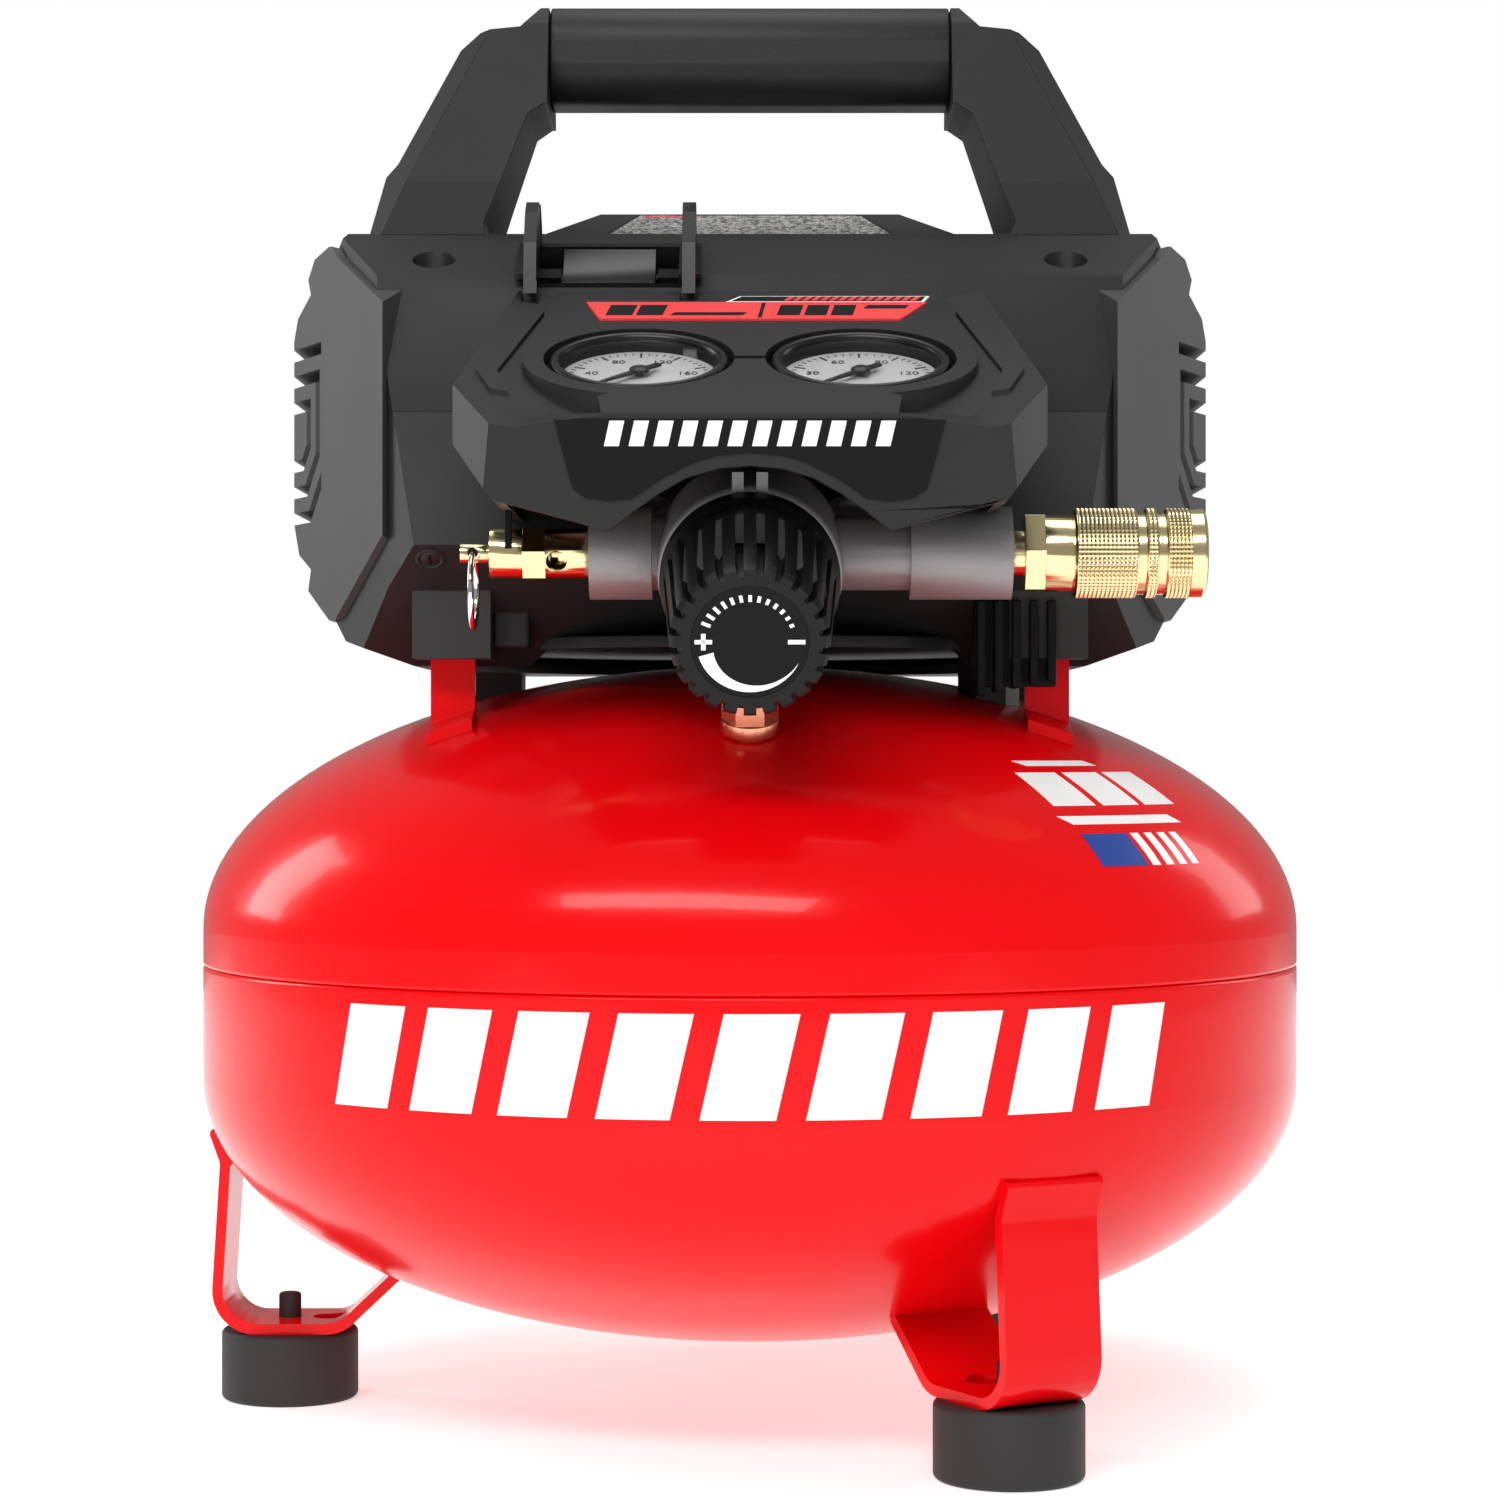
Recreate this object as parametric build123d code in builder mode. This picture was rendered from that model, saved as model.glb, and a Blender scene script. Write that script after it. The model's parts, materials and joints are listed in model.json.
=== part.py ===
from build123d import *
from math import atan, cos, radians, sin, sqrt, tan
import os

os.makedirs("parts", exist_ok=True)

# Frame: origin on the tank's axis at the floor, +Z up, -Y towards the control panel.

# Tank: a cylinder band between two elliptical domes
TANK_R = 155.6
TANK_WALL = 2.2
DOME_H = 74.0
BAND_LOW = 94.0
BAND_TOP = 136.0
SEAM_Z = 125.6

# Legs, one strap each, and their rubber feet
LEG_ANGLES = {"left": 180.0, "front": -60.0, "rear": 60.0}
STRAP_T = 3.0
STRAP_W = 29.0
FOOT_RADIUS = 132.4
FOOT_D = 39.0
FOOT_H = 20.0
LEG_HOLE_RADIUS = 121.0
LEG_HOLE_R = 4.75

# Air manifold: its tube runs along X, and the knob's axis leans forward and down
TILT = 22.5
MAN_Y = -110.8
MAN_Z = 236.5
TUBE_R = 11.9
KNOB_REAR = 19.0
KNOB_FACE = 64.4
KNOB_TEETH = 24
BUNG_RHO = 104.7

# Gauges and control panel, on one plane that slopes forward
PANEL_TILT = 24.0
PANEL_Y = -120.0
PANEL_Z = 285.9
GAUGE_X = 28.2
GAUGE_R = 23.9
DIAL_R = 20.6

# Motor housing
SHELL = 3.0
PART_Z = 276.0
FLOOR_Z = 209.0
HOUSING_REAR = 108.0
BOSS_X = 86.0
BOSS_Y = (-55.0, 92.0)
SEAT_Z = 304.0

# Power switch, on the housing's forward-sloping top edge
SLOPE_FRONT = (-66.0, 314.0)
SLOPE_REAR = (-36.0, 329.4)
SWITCH_X = -38.2
SWITCH_Y = -58.5
SWITCH_W = 25.4
SWITCH_HOLE_W = 44.0
SWITCH_HOLE_H = 22.0
BAY_W = 38.0
BAY_H = 19.6
BAY_LIP_Z = 311.4
ROCKER_DROP = 4.5
EAR_X = (-22.4, 20.0)
EAR_T = 3.6
EAR_SIDE = [(-74, 308), (-72, 322), (-66, 331), (-60, 334.5), (-54, 334.5), (-49, 330), (-45, 322),
            (-60, 315)]

# Pump: the crank turns about X, the piston slides along Y
CRANK_Y = 49.5
CRANK_Z = 268.0
PUMP_X = 21.0
STROKE = 18.0
BORE_R = 22.0
CROWN_Y = -30.0
ROD_LENGTH = 40.0
FIT = 0.05


def dome_rise(rho):
    """Height of the ellipse above its rim at a distance from the tank's axis."""
    return DOME_H * sqrt(1 - (rho / TANK_R) ** 2)


def dome_slope(rho):
    """Angle of the upper dome's normal from the vertical, in radians."""
    return atan(DOME_H * rho / (TANK_R ** 2 * sqrt(1 - (rho / TANK_R) ** 2)))


def outline(*points, mode=Mode.ADD):
    """A closed straight-sided face in the sketch being drawn."""
    with BuildLine() as border:
        Polyline(*points, close=True)
    make_face(border.edges(), mode=mode)


def save(builder, name):
    """Labels a finished piece and writes it."""
    builder.part.label = name
    export_step(builder.part, "parts/" + name + ".step")


def both_sides(points):
    """A half outline from the centre line outwards, with its mirror image."""
    return points + [(-x, y) for x, y in reversed(points) if x != 0]


# ---------------------------------------------------------------- tank
def dome_profile(radius, rise, base, up):
    """Quarter-ellipse from the axis to the rim, and the band's wall back to the axis."""
    sign = 1 if up else -1
    start = 0.0 if up else 270.0
    with BuildLine() as border:
        EllipticalCenterArc((0, base), radius, rise, start_angle=start, arc_size=90)
        Line((0, base + sign * rise), (0, SEAM_Z))
        Line((0, SEAM_Z), (radius, SEAM_Z))
        Line((radius, SEAM_Z), (radius, base))
    make_face(border.edges())


with BuildPart() as tank_upper_shell:
    with BuildSketch(Plane.XZ):
        dome_profile(TANK_R, DOME_H, BAND_TOP, True)
    revolve(axis=Axis.Z)
    rim = tank_upper_shell.edges().filter_by(GeomType.CIRCLE).group_by(Axis.Z)[0]
    fillet(rim, 1.0)
    with BuildSketch(Plane.XZ):
        dome_profile(TANK_R - TANK_WALL, DOME_H - TANK_WALL, BAND_TOP, True)
    revolve(axis=Axis.Z, mode=Mode.SUBTRACT)
    bung_plane = Plane(
        origin=(0, -BUNG_RHO, BAND_TOP + dome_rise(BUNG_RHO)),
        z_dir=(0, -sin(dome_slope(BUNG_RHO)), cos(dome_slope(BUNG_RHO))),
        x_dir=(1, 0, 0),
    )
    with BuildSketch(bung_plane):
        Circle(6.0)
    extrude(amount=8, both=True, mode=Mode.SUBTRACT)
save(tank_upper_shell, "tank_upper_shell")

LIP = 9.0
with BuildPart() as tank_lower_shell:
    with BuildSketch(Plane.XZ):
        dome_profile(TANK_R, DOME_H, BAND_LOW, False)
    revolve(axis=Axis.Z)
    rim = tank_lower_shell.edges().filter_by(GeomType.CIRCLE).group_by(Axis.Z)[-1]
    fillet(rim, 1.0)
    with BuildSketch(Plane.XY.offset(SEAM_Z - 1)):
        Circle(TANK_R - TANK_WALL - 0.05)
    extrude(amount=LIP + 1)
    with BuildSketch(Plane.XY.offset(SEAM_Z - 6)):
        Circle(TANK_R - 2 * TANK_WALL)
    extrude(amount=LIP + 10, mode=Mode.SUBTRACT)
    with BuildSketch(Plane.XZ):
        dome_profile(TANK_R - 2 * TANK_WALL, DOME_H - TANK_WALL, BAND_LOW, False)
    revolve(axis=Axis.Z, mode=Mode.SUBTRACT)
save(tank_lower_shell, "tank_lower_shell")

with BuildPart() as tank_space:
    with BuildSketch(Plane.XZ):
        dome_profile(TANK_R + 0.02, DOME_H + 0.02, BAND_LOW, False)
    revolve(axis=Axis.Z)

# ---------------------------------------------------------------- legs and feet


def radial_plane(angle):
    """Upright plane through the tank's axis: local x outwards, local y up."""
    a = radians(angle)
    return Plane(origin=(0, 0, 0), x_dir=(cos(a), sin(a), 0), z_dir=(sin(a), -cos(a), 0))


STRAP_PATH = [(151.9, 77.0), (149.0, 69.0), (151.9, 21.5), (116.5, 21.5), (100.0, 37.0)]

for side, angle in LEG_ANGLES.items():
    spot = radial_plane(angle)
    c, s = cos(radians(angle)), sin(radians(angle))
    with BuildPart() as leg:
        with BuildSketch(spot):
            with BuildLine():
                FilletPolyline(*STRAP_PATH, radius=[6, 11, 10])
                offset(amount=STRAP_T / 2, side=Side.BOTH)
            make_face()
        extrude(amount=STRAP_W / 2, both=True)
        with BuildSketch(Plane.XY.offset(FOOT_H)):
            with Locations((LEG_HOLE_RADIUS * c, LEG_HOLE_RADIUS * s)):
                Circle(LEG_HOLE_R)
            with Locations((FOOT_RADIUS * c, FOOT_RADIUS * s)):
                Circle(3.3)
        extrude(amount=STRAP_T + 1, mode=Mode.SUBTRACT)
        add(tank_space.part, mode=Mode.SUBTRACT)
    save(leg, "leg_" + side)

    with BuildPart() as foot:
        with BuildSketch(Plane.XY):
            with Locations((FOOT_RADIUS * c, FOOT_RADIUS * s)):
                Circle(FOOT_D / 2)
        extrude(amount=FOOT_H)
        fillet(foot.edges().filter_by(GeomType.CIRCLE), 1.6)
        with BuildSketch(Plane.XY.offset(FOOT_H)):
            with Locations((FOOT_RADIUS * c, FOOT_RADIUS * s)):
                Circle(3.2)
        extrude(amount=STRAP_T + 7)
        fillet(foot.edges().filter_by(GeomType.CIRCLE).group_by(Axis.Z)[-1], 1.0)
        with BuildSketch(Plane.XY):
            with Locations((FOOT_RADIUS * c, FOOT_RADIUS * s)):
                Circle(6.0)
        extrude(amount=8, mode=Mode.SUBTRACT)
    save(foot, "foot_" + side)

# ---------------------------------------------------------------- outlet bung and drain valve
with BuildPart() as tank_bung:
    with BuildSketch(bung_plane.offset(-6)):
        Circle(5.9)
    extrude(amount=6.5)
    with BuildSketch(bung_plane.offset(0.5)):
        Circle(7.6)
    extrude(amount=3.5)
    with BuildSketch(bung_plane.offset(4)):
        RegularPolygon(radius=7.4, side_count=6)
    extrude(amount=10)
    with BuildSketch(bung_plane.offset(-6)):
        Circle(3.0)
    extrude(amount=20, mode=Mode.SUBTRACT)
save(tank_bung, "tank_bung")

DRAIN_ANGLE = 120.0
DRAIN_RHO = 105.0
drain_lean = dome_slope(DRAIN_RHO)
drain_c, drain_s = cos(radians(DRAIN_ANGLE)), sin(radians(DRAIN_ANGLE))
drain_plane = Plane(
    origin=(DRAIN_RHO * drain_c, DRAIN_RHO * drain_s, BAND_LOW - dome_rise(DRAIN_RHO)),
    z_dir=(sin(drain_lean) * drain_c, sin(drain_lean) * drain_s, -cos(drain_lean)),
    x_dir=(-drain_s, drain_c, 0),
)
with BuildPart() as drain_valve_body:
    with BuildSketch(drain_plane.offset(0.4)):
        RegularPolygon(radius=7.5, side_count=6)
    extrude(amount=6)
    with BuildSketch(drain_plane.offset(6.4)):
        Circle(5.5)
    extrude(amount=5)
    with BuildSketch(drain_plane.offset(11.4)):
        Circle(3.0)
    extrude(amount=5)
save(drain_valve_body, "drain_valve_body")

with BuildPart() as drain_valve_handle:
    with BuildSketch(drain_plane.offset(12)):
        Circle(5.2)
    extrude(amount=5)
    with BuildSketch(drain_plane.offset(12.6)):
        SlotOverall(26, 6)
    extrude(amount=4)
    with BuildSketch(drain_plane.offset(11)):
        Circle(3.0 + FIT)
    extrude(amount=8, mode=Mode.SUBTRACT)
save(drain_valve_handle, "drain_valve_handle")

# ---------------------------------------------------------------- motor housing
FRONT_VIEW = both_sides([(0, 209), (92, 209), (111.6, 216), (117, 224.5), (117, 321), (111.6, 329.4),
                         (108, 331), (0, 331)])
SIDE_VIEW = [(-50, 209), (-88, 240), SLOPE_FRONT, SLOPE_REAR, (0, 331), (70, 331), (98, 318), (HOUSING_REAR, 290),
             (HOUSING_REAR, 235), (90, 209)]
PLAN_VIEW = both_sides([(0, -92), (86, -92), (96.5, -75), (117, -30), (117, 62), (98, 98),
                        (88, HOUSING_REAR), (0, HOUSING_REAR)])


def three_views(front, side, plan, inset=0.0):
    """The solid whose front, side and plan outlines are given, drawn in by an inset."""
    for plane, view in ((Plane.XZ, front), (Plane.YZ, side), (Plane.XY, plan)):
        with BuildSketch(plane) as drawn:
            outline(*view)
            if inset:
                offset(amount=-inset, kind=Kind.INTERSECTION, mode=Mode.REPLACE)
        joined = Mode.ADD if plane == Plane.XZ else Mode.INTERSECT
        extrude(drawn.sketch, amount=500, both=True, mode=joined)


with BuildPart() as housing_outer:
    three_views(FRONT_VIEW, SIDE_VIEW, PLAN_VIEW)

with BuildPart() as housing_inner:
    three_views(FRONT_VIEW, SIDE_VIEW, PLAN_VIEW, SHELL)

BUMP_SIDE = [(-14, 327), (-10, 331), (26, 344.2), (60, 344.2), (84, 330), (84, 325), (-14, 325)]
BUMP_FRONT = both_sides([(0, 320), (66, 320), (66, 330), (44, 344.2), (0, 344.2)])
with BuildPart() as bump:
    with BuildSketch(Plane.XZ):
        outline(*BUMP_FRONT)
    extrude(amount=300, both=True)
    with BuildSketch(Plane.YZ):
        outline(*BUMP_SIDE)
    extrude(amount=300, both=True, mode=Mode.INTERSECT)

DOCK_X = 27.0
DOCK_NECK_X = 20.0
DOCK_LOW = 226.0
DOCK_TOP = 275.0
VALVE_X = 66.0
VALVE_Y = -40.0

with BuildPart() as housing_lower:
    add(housing_outer.part)
    with BuildSketch(Plane.XY.offset(PART_Z)):
        Rectangle(400, 400)
    extrude(amount=200, mode=Mode.SUBTRACT)
    add(housing_inner.part, mode=Mode.SUBTRACT)
    with BuildSketch(Plane.XY.offset(FLOOR_Z - 1)):
        Circle(78)
    extrude(amount=5.5, mode=Mode.SUBTRACT)
    with BuildSketch(Plane.XY.offset(FLOOR_Z + 4.5)):
        Circle(80)
    extrude(amount=SHELL)
    for vent_side in (-1, 1):
        with BuildSketch(Plane.YZ.offset(vent_side * 117)):
            with Locations((12, 250)):
                Rectangle(60, 34)
        extrude(amount=6, both=True, mode=Mode.SUBTRACT)
    with BuildSketch(Plane.XY.offset(DOCK_LOW)):
        with Locations((0, HOUSING_REAR + 1)):
            Rectangle(2 * DOCK_NECK_X, 6)
        with Locations((0, HOUSING_REAR + 5.5)):
            Rectangle(2 * DOCK_X, 3)
    extrude(amount=DOCK_TOP - DOCK_LOW)
    with BuildSketch(Plane.XY.offset(200)):
        with Locations((VALVE_X, VALVE_Y)):
            Circle(10)
    extrude(amount=30, mode=Mode.SUBTRACT)
save(housing_lower, "housing_lower")

slope_lean = atan((SLOPE_REAR[1] - SLOPE_FRONT[1]) / (SLOPE_REAR[0] - SLOPE_FRONT[0]))
SWITCH_Z = SLOPE_FRONT[1] + (SWITCH_Y - SLOPE_FRONT[0]) * tan(slope_lean)
switch_plane = Plane(
    origin=(SWITCH_X, SWITCH_Y, SWITCH_Z), x_dir=(1, 0, 0), z_dir=(0, -sin(slope_lean), cos(slope_lean)))
rocker_hub = switch_plane.origin - switch_plane.z_dir * ROCKER_DROP
SCREW_SPOTS = [(sign * BOSS_X, y) for sign in (-1, 1) for y in BOSS_Y]
with BuildPart() as housing_upper:
    add(housing_outer.part)
    add(bump.part)
    with BuildSketch(Plane.XY.offset(PART_Z + 0.1)):
        Rectangle(400, 400)
    extrude(amount=-200, mode=Mode.SUBTRACT)
    add(housing_inner.part, mode=Mode.SUBTRACT)
    for vent_side in (-1, 1):
        with BuildSketch(Plane.YZ.offset(vent_side * 117)):
            with Locations((12, 294)):
                Rectangle(60, 26)
        extrude(amount=6, both=True, mode=Mode.SUBTRACT)
    with BuildSketch(switch_plane.offset(-12)):
        Rectangle(SWITCH_HOLE_W, SWITCH_HOLE_H)
    extrude(amount=30, mode=Mode.SUBTRACT)
    with BuildSketch(Plane.XY.offset(PART_Z + 0.1)):
        with Locations(*SCREW_SPOTS):
            Circle(8.5)
    bosses = extrude(amount=60, mode=Mode.PRIVATE)
    add(bosses & housing_outer.part)
    with BuildSketch(Plane.XY.offset(SEAT_Z)):
        with Locations(*SCREW_SPOTS):
            Circle(6.0)
    extrude(amount=60, mode=Mode.SUBTRACT)
    with BuildSketch(Plane.XY.offset(PART_Z)):
        with Locations(*SCREW_SPOTS):
            Circle(2.6)
    extrude(amount=60, mode=Mode.SUBTRACT)
    with BuildSketch(Plane.YZ):
        outline((-6, 333.9), (22, 344.2), (22, 346), (-6, 336))
    extrude(amount=38, both=True, mode=Mode.SUBTRACT)
save(housing_upper, "housing_upper")


# ---------------------------------------------------------------- handle
GRIP_TOP = 398.4
GRIP_H = 28.0
GRIP_D = 31.0
HANDLE_VIEW = [(107, 326), (103, 348), (99.5, 351.5), (82.5, 385.5), (76.5, 389.8), (65, 391), (59.5, 397),
               (-59.5, 397), (-65, 391), (-76.5, 389.8), (-82.5, 385.5), (-99.5, 351.5), (-103, 348),
               (-107, 326), (-74, 326), (-74, 333), (-62.5, 365), (-58, 368), (58, 368), (62.5, 365),
               (74, 333), (74, 326)]
HANDLE_SIDE = [(-38, 326), (-30, 345), (-17, 392), (-13, 397), (13, 397), (17, 392), (26, 345), (32, 326)]
with BuildPart() as handle_frame:
    with BuildSketch(Plane.XZ):
        outline(*HANDLE_VIEW)
    extrude(amount=60, both=True)
    with BuildSketch(Plane.YZ):
        outline(*HANDLE_SIDE)
    extrude(amount=200, both=True, mode=Mode.INTERSECT)
    for sign in (-1, 1):
        chamfer_face = Plane(
            origin=(sign * 96.2, -25.8, 349.2), x_dir=(-sign * 17, 9.4, 34), z_dir=(sign * 0.149, -0.107, 0.104))
        split(bisect_by=chamfer_face, keep=Keep.BOTTOM)
    add(housing_outer.part, mode=Mode.SUBTRACT)
    add(bump.part, mode=Mode.SUBTRACT)
    with BuildSketch(Plane.YZ):
        with Locations((0, GRIP_TOP - GRIP_H / 2)):
            Rectangle(90, GRIP_H + 8)
            RectangleRounded(GRIP_D - 7, GRIP_H - 7, 8, mode=Mode.SUBTRACT)
    extrude(amount=57, both=True, mode=Mode.SUBTRACT)
save(handle_frame, "handle_frame")

with BuildPart() as handle_grip:
    with BuildSketch(Plane.YZ):
        with Locations((0, GRIP_TOP - GRIP_H / 2)):
            RectangleRounded(GRIP_D, GRIP_H, 11)
            RectangleRounded(GRIP_D - 7 + 0.1, GRIP_H - 7 + 0.1, 8, mode=Mode.SUBTRACT)
    extrude(amount=56.8, both=True)
save(handle_grip, "handle_grip")

# ---------------------------------------------------------------- side covers
COVER_FRONT = [(90, 318), (117, 326), (122.5, 324), (125, 319), (124, 314.5), (129, 309), (130.5, 303),
               (130.5, 250.6), (128.5, 241.5), (124, 237), (125, 231), (121, 226.4), (117, 222), (90, 226)]
COVER_SIDE = [(-77, 244), (-77, 305), (-42, 322), (-36, 327), (66, 327), (98, 305), (98, 244), (66, 221),
              (-38, 221)]
COVER_PLAN = [(98, -76), (119, -31), (130.5, -6), (130.5, 38), (119, 64), (99.5, 99.5), (90, 66), (90, -60)]
LOUVRE_Y = 12.0
LOUVRE_Z = 275.3
LOUVRE_W = 47.0
LOUVRE_H = 25.0
LOUVRE_PITCH = 7.5
LOUVRE_SLOT = 3.4
LOUVRE_DEPTH_X = 120.0


def mirrored(points, sign):
    """An outline drawn for the right side, turned over for the left when sign is -1."""
    return [(sign * x, y) for x, y in points]


def trapezoid(half_width, half_height):
    """A louvre outline: a rectangle whose lower corners are cut away."""
    cut = 0.6 * half_height
    return [(-half_width, half_height), (half_width, half_height), (half_width, cut - half_height),
            (half_width - cut, -half_height), (cut - half_width, -half_height),
            (-half_width, cut - half_height)]


for side, sign in (("left", -1), ("right", 1)):
    louvre_face = Plane(
        origin=(sign * LOUVRE_DEPTH_X, LOUVRE_Y, LOUVRE_Z), x_dir=(0, sign, 0), z_dir=(sign, 0, 0))
    with BuildPart() as side_cover:
        three_views(mirrored(COVER_FRONT, sign), COVER_SIDE, mirrored(COVER_PLAN, sign))
        add(housing_outer.part, mode=Mode.SUBTRACT)
        with BuildSketch(louvre_face.offset(-4)):
            Rectangle(2 * LOUVRE_W - 20, 2 * LOUVRE_H + 8)
        extrude(amount=2, mode=Mode.SUBTRACT)
        for ring in range(3):
            half_w = LOUVRE_W - ring * LOUVRE_PITCH
            half_h = LOUVRE_H - ring * LOUVRE_PITCH
            with BuildSketch(louvre_face):
                outline(*trapezoid(half_w, half_h))
                outline(*trapezoid(half_w - LOUVRE_SLOT, half_h - LOUVRE_SLOT), mode=Mode.SUBTRACT)
            extrude(amount=20, mode=Mode.SUBTRACT)
            with BuildSketch(louvre_face):
                outline(*trapezoid(half_w, half_h))
                outline(*trapezoid(half_w - LOUVRE_SLOT, half_h - LOUVRE_SLOT), mode=Mode.SUBTRACT)
                Rectangle(2 * (half_w - 17), 200, mode=Mode.INTERSECT)
            extrude(amount=-5, mode=Mode.SUBTRACT)
    save(side_cover, "side_cover_" + side)

# ---------------------------------------------------------------- control panel
man_lean = radians(TILT)
man_plane = Plane(origin=(0, MAN_Y, MAN_Z), x_dir=(1, 0, 0), z_dir=(0, -cos(man_lean), -sin(man_lean)))
tube_plane = Plane(origin=(0, MAN_Y, MAN_Z), x_dir=(0, 1, 0), z_dir=(1, 0, 0))
panel_lean = radians(PANEL_TILT)
panel_plane = Plane(
    origin=(0, PANEL_Y, PANEL_Z), x_dir=(1, 0, 0), z_dir=(0, -sin(panel_lean), cos(panel_lean)))
PANEL_FRONT_Y = -160.5


def panel_height(y):
    """Height of the sloping panel above the floor at a depth."""
    return PANEL_Z + (y - PANEL_Y) * tan(panel_lean)


DASH_SIDE = [(PANEL_FRONT_Y, panel_height(PANEL_FRONT_Y)), (-67.6, panel_height(-67.6)), (-87.2, 244),
             (-87.2, 236), (-154, 236)]
DASH_PLAN = both_sides([(0, -162), (62.5, -162), (74, -139), (61, -60), (0, -60)])
DASH_WALL = 2.6
ARCH_HALF = 33.5
ARCH_TOP = 255.2
ARCH_LOW = 240.0

with BuildPart() as dash_cover:
    with BuildSketch(Plane.XZ):
        outline((-62, 330), (-74, 282), (-74, 262), (-63, 247), (-34, 239.5), (34, 239.5), (63, 247),
                (74, 262), (74, 282), (62, 330))
    extrude(amount=300, both=True)
    with BuildSketch(Plane.YZ):
        outline(*DASH_SIDE)
    extrude(amount=300, both=True, mode=Mode.INTERSECT)
    with BuildSketch(Plane.XY):
        outline(*DASH_PLAN)
    extrude(amount=500, mode=Mode.INTERSECT)
    with BuildSketch(Plane.XZ):
        outline((-59.5, 326), (-71.2, 281), (-71.2, 263), (-61.5, 250), (-55, 225), (55, 225), (61.5, 250),
                (71.2, 263), (71.2, 281), (59.5, 326))
    hollow_front = extrude(amount=300, both=True, mode=Mode.PRIVATE)
    with BuildSketch(Plane.YZ):
        with BuildLine():
            Polyline((PANEL_FRONT_Y + 2.2, panel_height(PANEL_FRONT_Y) - 2.8),
                     (-50, panel_height(-50) - DASH_WALL), (-50, 225), (-151.5, 225), close=True)
        make_face()
    hollow_side = extrude(amount=300, both=True, mode=Mode.PRIVATE)
    with BuildSketch(Plane.XY):
        outline((-60.5, -159), (-71.2, -138.4), (-58, -50), (58, -50), (71.2, -138.4), (60.5, -159))
    hollow_plan = extrude(amount=500, mode=Mode.PRIVATE)
    add(hollow_front & hollow_side & hollow_plan, mode=Mode.SUBTRACT)
    with BuildSketch(Plane.XZ.offset(100)):
        with BuildLine():
            ThreePointArc((-ARCH_HALF, ARCH_LOW), (0, ARCH_TOP), (ARCH_HALF, ARCH_LOW))
            Polyline((ARCH_HALF, ARCH_LOW), (ARCH_HALF, 225), (-ARCH_HALF, 225), (-ARCH_HALF, ARCH_LOW))
        make_face()
    extrude(amount=100, mode=Mode.SUBTRACT)
    with BuildSketch(panel_plane):
        with Locations((-GAUGE_X, 0), (GAUGE_X, 0)):
            Circle(GAUGE_R + 0.2)
        Rectangle(12, 2.2)
    extrude(amount=10, both=True, mode=Mode.SUBTRACT)
    with BuildSketch(Plane.XY.offset(295)):
        with Locations(*[(SWITCH_X + ear_x + EAR_T / 2, -68) for ear_x in EAR_X]):
            Rectangle(EAR_T + 1.2, 14)
    extrude(amount=30, mode=Mode.SUBTRACT)
    with BuildSketch(tube_plane.offset(-90)):
        Circle(TUBE_R + 0.6)
    extrude(amount=180, mode=Mode.SUBTRACT)
save(dash_cover, "dash_cover")

with BuildPart() as gauge_label:
    with BuildSketch(panel_plane):
        outline((-43.5, 46), (-39.5, 31), (39.5, 31), (47, 46))
    extrude(amount=0.6)
save(gauge_label, "gauge_label")

# The film follows the front face of the cover, which leans back as it goes down
with BuildPart() as dash_panel:
    with BuildSketch(Plane.XZ.offset(140)):
        outline(*both_sides([(0, 258.2), (7.5, 257.6), (13.4, 256), (21.6, 252), (28.6, 247.2), (34.5, 246.6),
                             (40, 247.4), (43, 249.4), (44.2, 253), (47.6, 266.2), (0, 266.2)]))
    extrude(amount=40)
    with BuildSketch(Plane.YZ):
        outline((-161.1, 267.6), (-160.5, 267.8), (-154, 236), (-154.6, 236))
    extrude(amount=100, both=True, mode=Mode.INTERSECT)
save(dash_panel, "dash_panel")

# ---------------------------------------------------------------- gauges
gauge_sides = (("left", -1), ("right", 1))
with BuildPart() as gauge_cases:
    for _, sign in gauge_sides:
        with BuildSketch(panel_plane.offset(-22)):
            with Locations((sign * GAUGE_X, 0)):
                Circle(GAUGE_R - 1.5)
        extrude(amount=22)
        with BuildSketch(panel_plane.offset(-1)):
            with Locations((sign * GAUGE_X, 0)):
                Circle(GAUGE_R)
        extrude(amount=3)
        with BuildSketch(panel_plane.offset(-19)):
            with Locations((sign * GAUGE_X, 0)):
                Circle(DIAL_R + 0.4)
        extrude(amount=30, mode=Mode.SUBTRACT)
        with BuildSketch(panel_plane.offset(-46)):
            with Locations((sign * GAUGE_X, 0)):
                Circle(5.0)
        extrude(amount=24.2)
save(gauge_cases, "gauge_cases")

with BuildPart() as gauge_dials:
    for _, sign in gauge_sides:
        with BuildSketch(panel_plane.offset(-6)):
            with Locations((sign * GAUGE_X, 0)):
                Circle(DIAL_R + 0.3)
                Circle(1.2, mode=Mode.SUBTRACT)
        extrude(amount=0.8)
save(gauge_dials, "gauge_dials")

with BuildPart() as gauge_lenses:
    for _, sign in gauge_sides:
        with BuildSketch(panel_plane.offset(-0.6)):
            with Locations((sign * GAUGE_X, 0)):
                Circle(DIAL_R + 0.3)
        extrude(amount=1.4)
save(gauge_lenses, "gauge_lenses")

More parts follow.
